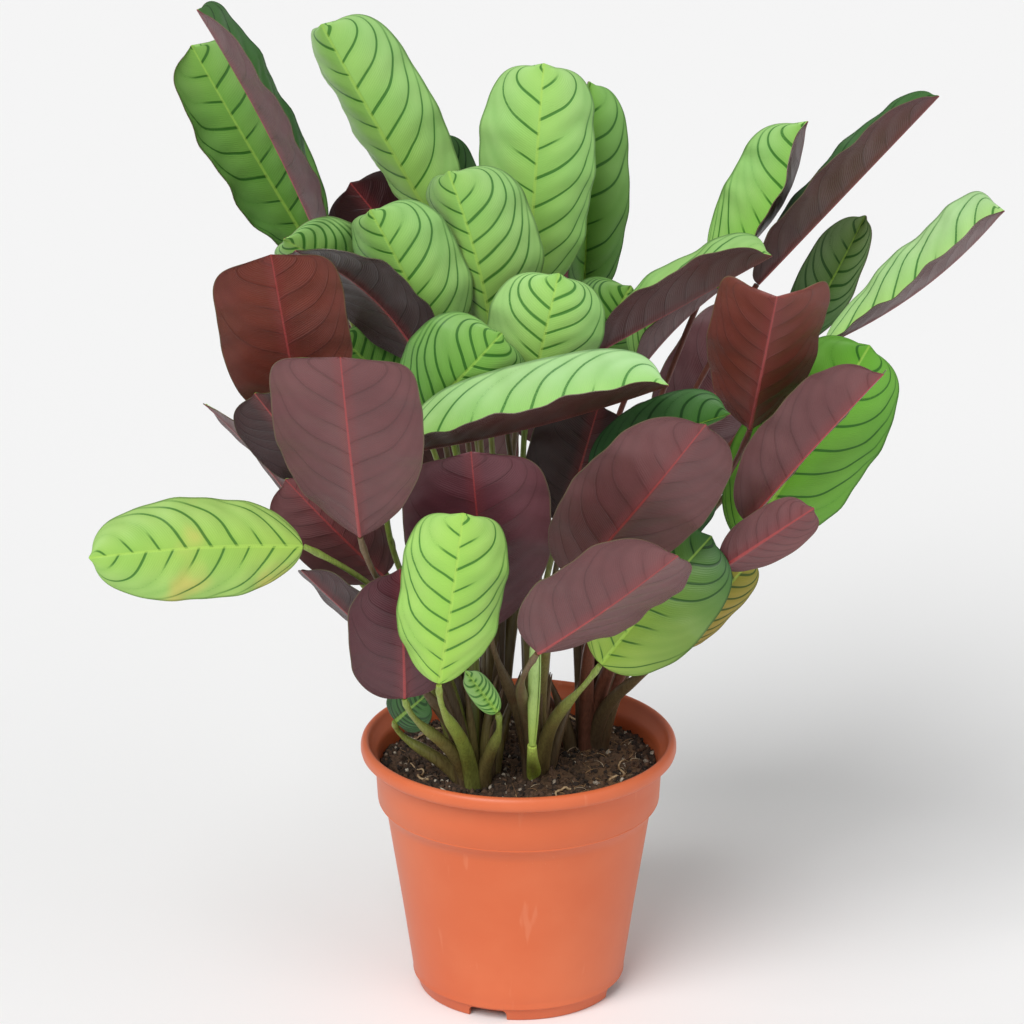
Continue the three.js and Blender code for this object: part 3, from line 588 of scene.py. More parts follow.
def stem_finish():
    sh = Shader("sheathed stalk")
    base = sh.color("stem_tone")
    place = sh.node("ShaderNodeMapping")
    sh.feed(place.inputs[0], sh.place())
    place.inputs["Scale"].default_value = (1.0, 1.0, 0.05)
    lines = sh.noise(1500.0, 2.0, 0.5, place.outputs[0])
    patch = sh.noise(90.0, 3.0)
    base = sh.tint(sh.step(lines, 0.35, 0.7, 0.0, 0.55), base, (0.42, 0.36, 0.30))
    base = sh.tint(sh.step(patch, 0.5, 0.75, 0.0, 0.5), base, (0.75, 0.42, 0.30))
    rough = sh.math("MULTIPLY_ADD", patch, 0.2, 0.32)
    sh.set(Base_Color=base, Roughness=rough, Normal=sh.bump(lines, 0.35, 0.0003))
    sh.bsdf.inputs["Specular IOR Level"].default_value = 0.45
    return sh.material


def spear_finish():
    sh = Shader("rolled new leaf")
    split = sh.node("ShaderNodeSeparateXYZ")
    sh.feed(split.inputs[0], sh.place())
    rise = sh.step(split.outputs[2], 0.118, 0.165)
    base = sh.mix(rise, (0.33, 0.46, 0.09), (0.46, 0.66, 0.24))
    cloud = sh.noise(120.0, 2.0)
    base = sh.mix(sh.step(cloud, 0.4, 0.7, 0.0, 0.4), base, (0.27, 0.42, 0.10))
    stretch = sh.node("ShaderNodeMapping")
    sh.feed(stretch.inputs[0], sh.place())
    stretch.inputs["Scale"].default_value = (1.0, 1.0, 0.06)
    lines = sh.noise(2200.0, 2.0, 0.5, stretch.outputs[0])
    base = sh.mix(sh.step(lines, 0.5, 0.7, 0.0, 0.35), base, (0.17, 0.30, 0.07))
    sh.set(Base_Color=base, Roughness=sh.math("MULTIPLY_ADD", cloud, 0.15, 0.34),
           Normal=sh.bump(lines, 0.35, 0.0003))
    return sh.material


# ----------------------------------------------------------------- leaf surface
def outline(s, blunt, belly):
    """Share of the full width at s, 0 at the neck and 1 at the tip."""
    x = 2 * s ** belly - 1
    power = np.where(x < 0, 2.0, blunt)
    return np.maximum(0, 1 - np.abs(x) ** power) ** (1 / power)


def bend(q, half, fold, curl):
    """Where the blade is at distance q from the midrib, bent from fold by curl."""
    if abs(curl) < 1e-3:
        return q * math.cos(fold), q * math.sin(fold)
    k = curl / np.maximum(half, 1e-6)
    return ((math.sin(fold) - np.sin(fold - k * q)) / k,
            (np.cos(fold - k * q) - math.cos(fold)) / k)


def unit(v):
    return v / np.linalg.norm(v, axis=-1, keepdims=True)


def blade_surface(leaf):
    """Grid of middle points and normals of a blade, with its own coordinates."""
    name, _, neck, tip, width, shape = leaf
    turn, bow = shape.get("turn", 0), shape.get("bow", 0)
    sweep, notch = shape.get("sweep", 0), shape.get("notch", 0)
    neck, tip = np.array(neck, float), np.array(tip, float)
    axis = tip - neck
    length = np.linalg.norm(axis)
    e = axis / length
    front = np.array([0.0, -1.0, 0.0])
    n0 = unit(front - (front @ e) * e)
    b0 = np.cross(e, n0)
    a = math.radians(turn)
    n_mid = n0 * math.cos(a) + b0 * math.sin(a)
    b_mid = b0 * math.cos(a) - n0 * math.sin(a)
    s = 0.5 * (1 - np.cos(np.linspace(0, math.pi, BLADE_STATIONS + 1)))
    hump, slope = 4 * s * (1 - s), 4 * (1 - 2 * s)
    mid = (neck + np.outer(s, axis) + np.outer(hump * bow * length, n_mid)
           + np.outer(hump * sweep * length, b_mid))
    t = unit(axis + np.outer(slope * bow * length, n_mid)
             + np.outer(slope * sweep * length, b_mid))
    n = unit(n_mid - (t @ n_mid)[:, None] * t)
    b = np.cross(t, n)
    half = 0.5 * width * outline(s, shape.get("blunt", 3.0), shape.get("belly", 1.0))
    rng = random.Random(name + str(settings().seed))
    phase = [rng.uniform(0, 2 * math.pi) for _ in range(4)]
    wave = settings().margin_wave / MM * min(1.0, width / 40)
    spacing = settings().vein_spacing * length
    steps = 2 * BLADE_HALF_STEPS + 1
    points = np.zeros((len(s), steps, 3))
    normals = np.zeros_like(points)
    q_all = np.zeros((len(s), steps))
    reach = np.zeros((len(s), steps))
    fade = np.clip(hump * 1.6, 0, 1)
    tip_ramp = np.clip((s - MUCRO_START) / (1 - MUCRO_START), 0, 1) ** 2
    for j in range(steps):
        x = j / BLADE_HALF_STEPS - 1
        side = math.copysign(1, x) if x else 0
        share = abs(x) ** 1.2
        fold, curl = (math.radians(v) for v in shape["left" if x < 0 else "right"])
        q = half * share
        out, up = bend(q, half, fold, curl)
        angle = fold - curl * share if x else 0.0
        here = mid + b * (side * out)[:, None] + n * up[:, None]
        here += e * (notch * length * s ** 4 * (q / (0.5 * width)) ** 2)[:, None]
        mucro = np.exp(-(q / MUCRO_REACH_MM) ** 2) * tip_ramp
        here += e * (MUCRO_MM * mucro)[:, None]
        normal = n * math.cos(angle) - b * (side * math.sin(angle))
        run = s * length
        lift = wave * share ** 2 * np.sin(run * 2 * math.pi / WAVE_MM + phase[0 if x < 0 else 1])
        lift += 0.35 * wave * share * np.sin(run * 2 * math.pi / RIPPLE_MM + phase[2 if x < 0 else 3])
        lag = 0.5 * width * share * (VEIN_START + VEIN_SWEEP * share ** 4)
        cell = (run - lag) / spacing + (0.5 if x > 0 else 0.0) + leaf_seed(name)
        quilt = np.cos(2 * math.pi * cell)
        lift += 0.026 * spacing * quilt * math.sin(math.pi * min(share, 1.0) ** 0.8)
        points[:, j] = here + normal * (lift * fade)[:, None]
        normals[:, j] = normal
        q_all[:, j] = side * q
        reach[:, j] = side * share
    along = np.repeat((s * length)[:, None], steps, axis=1)
    return points, normals, q_all, along, reach, s, spacing


def leaf_seed(name):
    return int(name[-2:]) * 0.37 % 1.0


def leaf_mesh(leaf, upper, under):
    name, shape = leaf[0], leaf[5]
    points, normals, q, along, reach, s, spacing = blade_surface(leaf)
    steps = points.shape[1]
    rib = np.exp(-(q / RIB_HALF_MM) ** 2) * (1 - 0.75 * s[:, None])
    thin = settings().leaf_thickness / MM / 2 * (1 - 0.55 * np.abs(reach) ** 3)
    top = points + normals * (thin - RIB_GROOVE_MM * rib)[..., None]
    low = points - normals * (thin + RIB_RAISED_MM * rib)[..., None]
    body = range(1, len(s) - 1)
    verts = [points[0, BLADE_HALF_STEPS]]
    for i in body:
        verts += list(top[i]) + list(low[i][::-1])
    verts.append(points[-1, BLADE_HALF_STEPS])
    faces = loft_faces(len(body), 2 * steps)
    obj = new_object(name + "_blade", to_world(np.array(verts)), faces, 60)
    mesh = obj.data

    def spread(grid):
        flat = [grid[0, BLADE_HALF_STEPS]]
        for i in body:
            flat += list(grid[i]) + list(grid[i][::-1])
        return np.array(flat + [grid[-1, BLADE_HALF_STEPS]])

    share = np.repeat(s[:, None], steps, axis=1)
    add_value(mesh, "across", spread(q))
    add_value(mesh, "along", spread(along))
    add_value(mesh, "reach", spread(reach))
    add_value(mesh, "share", spread(share))
    add_value(mesh, "leaf_seed", np.full(len(verts), leaf_seed(name)))
    add_value(mesh, "spacing", np.full(len(verts), spacing))
    add_value(mesh, "half_width", np.full(len(verts), leaf[4] / 2))
    yellow = 0.85 if shape["tone"] == "yellowing" else 0.0
    add_value(mesh, "yellow", np.full(len(verts), yellow))
    neck_tone, tip_tone, under_tone = (np.array(c) for c in TONES[shape["tone"]])
    rng = random.Random(name)
    shift = 1 + rng.uniform(-0.08, 0.08)
    blend = spread(share)[:, None]
    add_color(mesh, "upper", shift * (neck_tone * (1 - blend) + tip_tone * blend))
    # painted sheen: the underside's colour grows lighter from the neck to the tip
    add_color(mesh, "under", shift * under_tone * (0.85 + 0.3 * blend))
    uv = mesh.uv_layers.new(name="blade")
    flat_reach, flat_share = spread(reach), spread(share)
    corners = np.zeros(len(mesh.loops), np.int32)
    mesh.loops.foreach_get("vertex_index", corners)
    uv.data.foreach_set("uv", np.stack([flat_reach[corners] / 2 + 0.5,
                                        flat_share[corners]], 1).ravel())
    mesh.materials.append(upper)
    mesh.materials.append(under)
    ring = 2 * steps
    kinds = np.zeros(len(mesh.polygons), np.int32)
    per_side = len(body) + 1
    for k in range(ring):
        if k >= steps - 1:
            kinds[k * per_side:(k + 1) * per_side] = 1
    mesh.polygons.foreach_set("material_index", kinds)
    return obj


# ------------------------------------------------------------------------ stems
def stem_curve(foot, neck, tip):
    """Corner points of a stem's curve from the crown to just short of the blade."""
    end = np.array(neck, float)
    along = unit(np.array(tip, float) - end)
    end = end - 0.6 * along
    start = np.array([foot[0], foot[1], CROWN_START_MM])
    reach = np.linalg.norm(end - start)
    rise = start + np.array([0, 0, 0.45 * reach])
    arrival = unit(unit(end - start) + along)
    return start, rise, end - 0.3 * reach * arrival, end


def stem_radius(t, sheathed, swell=0.35):
    """A sheath that thins into the bare stalk past the sheathed share."""
    sheath = 3.0 - 0.9 * t / sheathed
    petiole = 1.25 - 0.2 * t
    blend = min(1.0, max(0.0, (t - sheathed + 0.12) / 0.22))
    blend = blend * blend * (3 - 2 * blend)
    swelling = swell * math.exp(-((t - 0.955) / 0.022) ** 2)
    return sheath + (petiole - sheath) * blend + swelling


def foot_of(crown, radius, neck):
    dx, dy = neck[0] - crown[0], neck[1] - crown[1]
    far = math.hypot(dx, dy)
    out = (radius - 3.4) * min(1.0, far / 60)
    return crown[0] + dx / far * out, crown[1] + dy / far * out


def stem_tube(curve, colors, radius_at, sides=16, steps=44):
    """Points, faces and tones of one stem; colours are those at its foot, middle and top."""
    p0, p1, p2, p3 = curve
    rings, tones = [], []
    side = np.array([1.0, 0.0, 0.0])
    low, middle, top = (np.array(c) for c in colors)
    for i in range(steps + 1):
        t = i / steps
        u = 1 - t
        c = u**3 * p0 + 3 * u * u * t * p1 + 3 * u * t * t * p2 + t**3 * p3
        d = unit(3 * u * u * (p1 - p0) + 6 * u * t * (p2 - p1) + 3 * t * t * (p3 - p2))
        side = unit(side - (side @ d) * d)
        up = np.cross(d, side)
        r = radius_at(t)
        keel = max(0.0, 1 - t / 0.6)
        shade = low + (middle - low) * min(1.0, t / 0.45) + (top - middle) * max(0, t / 0.45 - 1) / 1.25
        for k in range(sides):
            a = 2 * math.pi * k / sides
            bulge = 1 + 0.16 * keel * math.cos(2 * a) + 0.08 * keel * math.cos(3 * a)
            rings.append(c + side * (r * bulge * math.cos(a)) + up * (r * bulge * math.sin(a)))
            tones.append(shade * (1 + 0.25 * keel * math.cos(3 * a)))
    points = [p0] + rings + [p3]
    return points, loft_faces(steps + 1, sides), [tones[0]] + tones + [tones[-1]]


# colours at the foot, the middle and the top of a stem
STEM_TONES = {
    "olive": ((0.10, 0.065, 0.030), (0.20, 0.17, 0.055), (0.24, 0.34, 0.06)),
    "brown": ((0.075, 0.048, 0.030), (0.13, 0.095, 0.045), (0.15, 0.10, 0.045)),
    "green": ((0.13, 0.13, 0.035), (0.24, 0.30, 0.05), (0.30, 0.42, 0.07)),
    "red": ((0.13, 0.055, 0.035), (0.20, 0.075, 0.045), (0.17, 0.045, 0.035)),
    "lime": ((0.20, 0.26, 0.04), (0.38, 0.50, 0.06), (0.44, 0.58, 0.11)),
}
DRY_SHEATH_TIP = (0.14, 0.09, 0.05)
SHEATHED_MM = 78
OLD_SHEATHS = {"left": 9, "centre": 8, "right": 9, "back": 8}


def old_sheath(crown, radius, rng):
    """A short pointed sheath left at the foot of the cluster."""
    heading = rng.uniform(0, 2 * math.pi)
    out = np.array([math.cos(heading), math.sin(heading), 0.0])
    foot = np.array([crown[0], crown[1], CROWN_START_MM]) + out * rng.uniform(2, radius - 1.5)
    tall = rng.uniform(30, 66)
    lean = rng.uniform(0.10, 0.34)
    top = foot + out * tall * lean + np.array([0, 0, tall])
    rise = foot + np.array([0, 0, 0.4 * tall])
    turn = top - out * tall * 0.12 - np.array([0, 0, 0.3 * tall])
    wide = rng.uniform(1.7, 2.7)
    return (foot, rise, turn, top), lambda t: wide * (1 - 0.93 * t ** 2.2)


def shoot_mesh(name, finish):
    crown, radius = SHOOTS[name]
    rng = random.Random(name)
    points, faces, tones = [], [], []

    def add(part):
        base = len(points)
        points.extend(part[0])
        faces.extend(tuple(i + base for i in face) for face in part[1])
        tones.extend(part[2])

    for leaf in LEAVES:
        if leaf[1] != name:
            continue
        neck, tip, tone = leaf[2], leaf[3], leaf[5]["tone"]
        kinds = ["red", "brown", "red"] if name == "right" else ["olive", "brown", "olive", "green"]
        kind = "green" if tone == "bright" else rng.choice(kinds)
        curve = stem_curve(foot_of(crown, radius, neck), neck, tip)
        reach = np.linalg.norm(curve[3] - curve[0])
        sheathed = min(0.72, max(0.4, SHEATHED_MM / reach))
        add(stem_tube(curve, STEM_TONES[kind], lambda t, s=sheathed: stem_radius(t, s)))
    if name == SPEAR_SHOOT:
        curve = stem_curve(foot_of(crown, radius, SPEAR_NECK), SPEAR_NECK, SPEAR_TIP)
        add(stem_tube(curve, STEM_TONES["lime"], lambda t: 3.0 - 1.25 * t))
    for _ in range(OLD_SHEATHS[name]):
        curve, radius_at = old_sheath(crown, radius, rng)
        kind = rng.choice(["red", "brown"] if name == "right" else ["brown", "olive", "brown"])
        low, middle, _ = STEM_TONES[kind]
        add(stem_tube(curve, (low, middle, DRY_SHEATH_TIP), radius_at, 12, 18))
    obj = new_object("stems_" + name + "_stalks", to_world(np.array(points)), faces, 60)
    add_color(obj.data, "stem_tone", np.array(tones))
    obj.data.materials.append(finish)
    return obj


# ------------------------------------------------------------------------ spear
def spear_mesh():
    """A leaf still rolled round itself, open at its top."""
    neck, tip = np.array(SPEAR_NECK, float), np.array(SPEAR_TIP, float)
    axis = tip - neck
    e = unit(axis)
    side = unit(np.cross(e, np.array([0.0, -1.0, 0.0])))
    up = np.cross(e, side)
    rows, round_steps, wraps = SPEAR_ROWS, SPEAR_ROUND_STEPS, SPEAR_WRAPS
    outer, inner = [], []
    for i in range(rows + 1):
        t = i / rows
        radius = SPEAR_RADIUS_MM * (0.55 + 1.4 * t - 1.15 * t * t)
        twist = 0.5 * t
        outer_row, inner_row = [], []
        for k in range(round_steps + 1):
            share = k / round_steps
            a = -0.8 + twist + 2 * math.pi * wraps * share
            r = radius * (1 - 0.34 * share)
            lip = 2.2 * math.sin(math.pi * share) * t ** 6
            here = neck + axis * t + e * (lip - 3.0 * share * t ** 4)
            out = side * math.cos(a) + up * math.sin(a)
            outer_row.append(here + out * r)
            inner_row.append(here + out * max(0.2, r - SPEAR_THICKNESS_MM))
        outer.append(outer_row)
        inner.append(inner_row)
    verts = []
    for row_out, row_in in zip(outer, inner):
        verts += row_out + row_in[::-1]
    ring = 2 * (round_steps + 1)
    faces = []
    rings = rows + 1
    for k in range(ring):
        nxt = (k + 1) % ring
        for r in range(rings - 1):
            a = r * ring
            b = a + ring
            faces.append((a + k, a + nxt, b + nxt, b + k))
    last = (rings - 1) * ring
    for k in range(round_steps):
        faces.append((last + k, last + k + 1, last + ring - 2 - k, last + ring - 1 - k))
        faces.append((k + 1, k, ring - 1 - k, ring - 2 - k))
    return new_object("spear_roll", to_world(np.array(verts)), faces, 50)


# -------------------------------------------------------------------------- pot
def pot_body():
    points, faces = revolve(POT_OUTER + POT_INNER, POT_SEGMENTS)
    obj = new_object("pot_body", to_world(points), faces, 38)
    cutters = []
    for k in range(NOTCHES):
        turn = NOTCH_TURN + k * math.pi / 2
        out = np.array([math.sin(turn), -math.cos(turn), 0.0])
        across = np.array([math.cos(turn), math.sin(turn), 0.0])
        arch = [(-NOTCH_HALF_MM, -3.0), (NOTCH_HALF_MM, -3.0), (NOTCH_HALF_MM, 2.2)]
        for i in range(1, 8):
            a = math.pi / 2 * i / 8
            arch.append((NOTCH_HALF_MM - 2 + 2 * math.cos(a), 2.2 + 2 * math.sin(a)))
        arch.append((NOTCH_HALF_MM - 2, NOTCH_TALL_MM))
        arch += [(-x, z) for x, z in reversed(arch[2:])]
        near, far = 33.0, 46.0
        verts = [out * d + across * x + np.array([0, 0, z]) for d in (near, far) for x, z in arch]
        n = len(arch)
        sides = [(i, (i + 1) % n, n + (i + 1) % n, n + i) for i in range(n)]
        ends = [tuple(range(n))[::-1], tuple(range(n, 2 * n))]
        cutters.append(new_object("notch", to_world(np.array(verts)), sides + ends))
    for cutter in cutters:
        cut = obj.modifiers.new("notch", "BOOLEAN")
        cut.operation, cut.object, cut.solver = "DIFFERENCE", cutter, "EXACT"
    bake(obj)
    for cutter in cutters:
        bpy.data.objects.remove(cutter)
    obj.data.set_sharp_from_angle(angle=math.radians(38))
    return obj


def bake(obj):
    """Turns the modified shape into the object's own plain mesh."""
    graph = bpy.context.evaluated_depsgraph_get()
    mesh = bpy.data.meshes.new_from_object(obj.evaluated_get(graph))
    obj.modifiers.clear()
    obj.data = mesh


# ------------------------------------------------------------------------- soil
def soil_height(x, y):
    """Height of the soil's surface in millimetres at a place about the pot's axis."""
    r = math.hypot(x, y)
    rough = noise.fractal(Vector((x / 11, y / 11, 0.3)), 0.7, 2.1, 5) * 1.9
    lumps = noise.noise(Vector((x / 20, y / 20, 5.0))) * 2.4
    clumps = max(0.0, noise.noise(Vector((x / 5, y / 5, 9.0)))) * 2.2
    heap = 1.6 * math.exp(-((x - 22) ** 2 + (y + 14) ** 2) / 420)
    rim = 0.8 - 1.8 * max(0.0, (r - 42) / 10) ** 2
    return SOIL_TOP_MM + 0.3 + rough + lumps + clumps + heap + rim


def coir_share(x, y):
    """How much coir shows: most at the right and the back."""
    if math.hypot(x, y) > 45.5:
        return 0.0
    return min(1.0, max(0.10, 0.34 + 0.018 * x + 0.004 * y
                        + 0.7 * noise.noise(Vector((x / 14, y / 14, 2.0)))))


def soil_mesh():
    turns = np.linspace(0, 2 * math.pi, SOIL_SEGMENTS, endpoint=False)
    bottom = [(8.0, 38.6), (34.8, 42.8), (72.2, 48.4), (75.0, 49.6), (77.5, 51.5)]
    verts, coir = [(0, 0, 8.0)], [0.0]
    rings = 0
    for z, r in bottom:
        verts += [(r * math.cos(a), r * math.sin(a), z) for a in turns]
        coir += [0.3] * SOIL_SEGMENTS
        rings += 1
    for k in range(SOIL_RINGS):
        r = SOIL_RADIUS_MM * (1 - k / SOIL_RINGS) ** 0.9
        for a in turns:
            x, y = r * math.cos(a), r * math.sin(a)
            verts.append((x, y, soil_height(x, y)))
            coir.append(coir_share(x, y))
        rings += 1
    verts.append((0, 0, soil_height(0, 0)))
    coir.append(coir_share(0, 0))
    obj = new_object("soil_bed", to_world(np.array(verts, float)),
                     loft_faces(rings, SOIL_SEGMENTS), 180)
    add_value(obj.data, "coir", coir)
    return obj


def shape_blank(name, points, faces):
    mesh = bpy.data.meshes.new(name)
    mesh.from_pydata([tuple(p) for p in points], [], faces)
    mesh.polygons.foreach_set("use_smooth", [True] * len(mesh.polygons))
    return mesh


def crumb_blanks():
    """Five uneven crumbs, about one millimetre across."""
    blanks = []
    for k in range(5):
        points, rings, size = [(0, 0, -0.4)], 4, 6
        for i in range(1, rings + 1):
            a = math.pi * i / (rings + 1)
            for j in range(size):
                b = 2 * math.pi * j / size + 0.4 * i
                lump = 1 + 0.95 * noise.noise(Vector((i * 1.3 + k * 5, j * 1.3, k * 3.0)))
                points.append((0.5 * lump * math.sin(a) * math.cos(b),
                               0.42 * lump * math.sin(a) * math.sin(b),
                               -0.3 * lump * math.cos(a)))
        points.append((0, 0, 0.35))
        blanks.append(shape_blank("crumb", points, loft_faces(rings, size)))
    return blanks


def fibre_blanks():
    """Five curved hairs ten millimetres long."""
    blanks = []
    for k in range(5):
        rng = random.Random(k + 11)
        heading, lift, x, y, z = 0.0, rng.uniform(0.2, 0.7), -4.5, 0.0, -0.4
        bend_rate, sink = rng.uniform(-0.22, 0.22), rng.uniform(0.05, 0.12)
        sides, steps = 4, 10
        points = []
        for i in range(steps + 1):
            wide = 0.10 * (0.35 + math.sin(math.pi * min(1, max(0.04, i / steps))))
            for j in range(sides):
                a = 2 * math.pi * j / sides
                points.append((x - wide * math.sin(heading) * math.cos(a),
                               y + wide * math.cos(heading) * math.cos(a),
                               z + wide * math.sin(a)))
            x, y, z = x + math.cos(heading), y + math.sin(heading), z + lift
            heading += bend_rate + rng.uniform(-0.12, 0.12)
            lift -= sink * 1.7
        poles = [(-4.6, 0.0, -0.4)] + points + [(x - 0.6, y, z)]
        blanks.append(shape_blank("fibre", poles, loft_faces(steps + 1, sides)))
    return blanks


def scatter(name, surface, blanks, count, low, high, tilt, seed, by_coir, finish):
    """Spreads copies of the blanks over the soil with one Geometry Nodes tree."""
    tree = bpy.data.node_groups.new(name, "GeometryNodeTree")
    face = tree.interface
    face.new_socket("Geometry", in_out="INPUT", socket_type="NodeSocketGeometry")
    wants = {}
    for label, kind, value in (("Count", "NodeSocketInt", count),
                               ("Smallest", "NodeSocketFloat", low),
                               ("Largest", "NodeSocketFloat", high),
                               ("Tilt", "NodeSocketFloat", tilt),
                               ("Seed", "NodeSocketInt", seed)):
        socket = face.new_socket(label, in_out="INPUT", socket_type=kind)
        socket.default_value = value
        wants[socket.identifier] = value
    face.new_socket("Geometry", in_out="OUTPUT", socket_type="NodeSocketGeometry")
    nodes, links = tree.nodes, tree.links
    source = nodes.new("NodeGroupInput")
    result = nodes.new("NodeGroupOutput")
    points = nodes.new("GeometryNodeDistributePointsOnFaces")
    points.distribute_method = "RANDOM"
    area = math.pi * (SOIL_RADIUS_MM * MM) ** 2
    density = nodes.new("ShaderNodeMath")
    density.operation = "DIVIDE"
    density.inputs[1].default_value = area
    normal = nodes.new("GeometryNodeInputNormal")
    split = nodes.new("ShaderNodeSeparateXYZ")
    upward = nodes.new("ShaderNodeMath")
    upward.operation = "GREATER_THAN"
    upward.inputs[1].default_value = 0.25
    links.new(normal.outputs[0], split.inputs[0])
    links.new(split.outputs[2], upward.inputs[0])
    links.new(source.outputs["Count"], density.inputs[0])
    weight = upward.outputs[0]
    if by_coir:
        coir = nodes.new("GeometryNodeInputNamedAttribute")
        coir.data_type = "FLOAT"
        coir.inputs[0].default_value = "coir"
        both = nodes.new("ShaderNodeMath")
        both.operation = "MULTIPLY"
        links.new(weight, both.inputs[0])
        links.new(coir.outputs[0], both.inputs[1])
        weight = both.outputs[0]
    last = nodes.new("ShaderNodeMath")
    last.operation = "MULTIPLY"
    links.new(density.outputs[0], last.inputs[0])
    links.new(weight, last.inputs[1])
    links.new(source.outputs["Geometry"], points.inputs["Mesh"])
    links.new(last.outputs[0], points.inputs["Density"])
    links.new(source.outputs["Seed"], points.inputs["Seed"])
    join = nodes.new("GeometryNodeJoinGeometry")
    for i, blank in enumerate(blanks):
        holder = bpy.data.objects.new(f"{name}_blank_{i}", blank)
        get = nodes.new("GeometryNodeObjectInfo")
        get.inputs["Object"].default_value = holder
        get.inputs["As Instance"].default_value = True
        links.new(get.outputs["Geometry"], join.inputs[0])
    turn = random_value(nodes, "FLOAT_VECTOR", seed + 1)
    high_turn = nodes.new("ShaderNodeCombineXYZ")
    links.new(source.outputs["Tilt"], high_turn.inputs[0])
    links.new(source.outputs["Tilt"], high_turn.inputs[1])
    high_turn.inputs[2].default_value = 2 * math.pi
    links.new(high_turn.outputs[0], turn.inputs[1])
    size = random_value(nodes, "FLOAT", seed + 2)
    links.new(source.outputs["Smallest"], size.inputs[2])
    links.new(source.outputs["Largest"], size.inputs[3])
    put = nodes.new("GeometryNodeInstanceOnPoints")
    put.inputs["Pick Instance"].default_value = True
    links.new(points.outputs["Points"], put.inputs["Points"])
    links.new(join.outputs[0], put.inputs["Instance"])
    links.new(turn.outputs[0], put.inputs["Rotation"])
    links.new(size.outputs[1], put.inputs["Scale"])
    tone = random_value(nodes, "FLOAT", seed + 3)
    keep = nodes.new("GeometryNodeStoreNamedAttribute")
    keep.data_type, keep.domain = "FLOAT", "INSTANCE"
    keep.inputs["Name"].default_value = "crumb_tone"
    links.new(put.outputs[0], keep.inputs["Geometry"])
    links.new(tone.outputs[1], keep.inputs["Value"])
    real = nodes.new("GeometryNodeRealizeInstances")
    paint = nodes.new("GeometryNodeSetMaterial")
    paint.inputs["Material"].default_value = finish
    links.new(keep.outputs[0], real.inputs[0])
    links.new(real.outputs[0], paint.inputs["Geometry"])
    links.new(paint.outputs[0], result.inputs[0])
    host = bpy.data.objects.new(name, surface.data.copy())
    bpy.context.collection.objects.link(host)
    run = host.modifiers.new(name, "NODES")
    run.node_group = tree
    for identifier, value in wants.items():
        run[identifier] = value
    bake(host)
    return host


def random_value(nodes, kind, seed):
    made = nodes.new("FunctionNodeRandomValue")
    made.data_type = kind
    made.inputs["Seed"].default_value = seed
    return made


# pale feeding roots lying on the soil: corner points about the pot's axis
ROOTS = [
    [(-13, -38), (-17, -44), (-8, -48), (0, -43), (-1, -36)],
    [(18, -44), (24, -40), (30, -42), (36, -37)],
    [(-34, -26), (-38, -20), (-36, -12), (-41, -6)],
    [(34, -22), (40, -16), (38, -8), (43, 2)],
    [(20, -30), (14, -34), (16, -40)],
    [(28, 36), (18, 42), (8, 40), (-2, 45)],
    [(-30, 30), (-36, 22), (-42, 20)],
]


def roots_mesh():
    points, faces = [], []
    for k, corners in enumerate(ROOTS):
        rng = random.Random(k)
        path = []
        count = 26
        for i in range(count + 1):
            t = i / count * (len(corners) - 1)
            j = min(int(t), len(corners) - 2)
            u = t - j
            ends = [np.array(corners[max(0, min(len(corners) - 1, j + m))], float)
                    for m in (-1, 0, 1, 2)]
            p = 0.5 * (2 * ends[1] + (ends[2] - ends[0]) * u
                       + (2 * ends[0] - 5 * ends[1] + 4 * ends[2] - ends[3]) * u * u
                       + (3 * ends[1] - ends[0] - 3 * ends[2] + ends[3]) * u ** 3)
            x, y = p
            lift = 0.7 + 0.9 * math.sin(math.pi * i / count) + rng.uniform(-0.1, 0.1)
            path.append(np.array([x, y, soil_height(x, y) + lift - 0.4]))
        base = len(points)
        sides = 7
        points.append(path[0] - (path[1] - path[0]) * 0.3)
        for i, c in enumerate(path):
            d = unit(path[min(count, i + 1)] - path[max(0, i - 1)])
            side = unit(np.cross(d, np.array([0, 0, 1.0])))
            up = np.cross(side, d)
            wide = 0.55 * (1 - 0.55 * i / count)
            for j in range(sides):
                a = -2 * math.pi * j / sides
                points.append(c + side * (wide * math.cos(a)) + up * (wide * math.sin(a)))
        points.append(path[-1] + (path[-1] - path[-2]) * 0.5)
        faces += loft_faces(count + 1, sides, base)
    return new_object("soil_roots", to_world(np.array(points)), faces, 60)


def root_finish():
    sh = Shader("pale roots")
    cloud = sh.noise(300.0, 2.0)
    base = sh.mix(sh.step(cloud, 0.4, 0.7), (0.50, 0.36, 0.20), (0.26, 0.15, 0.07))
    sh.set(Base_Color=base, Roughness=0.6)
    return sh.material


# -------------------------------------------------------------------- operators
class PLANT_OT_pot(bpy.types.Operator):
    """Build the grower's pot with its collar, foot ring and drain notches"""
    bl_idname = "plant.pot"
    bl_label = "Pot"

    def execute(self, context):
        pot = pot_body()
        pot.data.materials.clear()
        pot.data.materials.append(pot_finish())
        hand_over(pot, "pot")
        return {"FINISHED"}


class PLANT_OT_soil(bpy.types.Operator):
    """Build the bed of peat with its crumbs, coir fibres and roots"""
    bl_idname = "plant.soil"
    bl_label = "Soil"

    def execute(self, context):
        s = settings()
        bed = soil_mesh()
        crumbs = scatter("soil_crumbs", bed, crumb_blanks(), s.crumbs, 0.6 * MM, 3.0 * MM,
                         6.28, s.seed, False, crumb_finish())
        fibres = scatter("soil_fibres", bed, fibre_blanks(), s.fibres, 0.35 * MM, 1.0 * MM,
                         0.7, s.seed + 40, True, fibre_finish())
        roots = roots_mesh()
        bed.data.materials.append(soil_finish())
        roots.data.materials.append(root_finish())
        for piece in (bed, crumbs, fibres, roots):
            if not piece.data.polygons:
                raise RuntimeError(piece.name + " is empty")
            hand_over(piece, "soil")
        return {"FINISHED"}


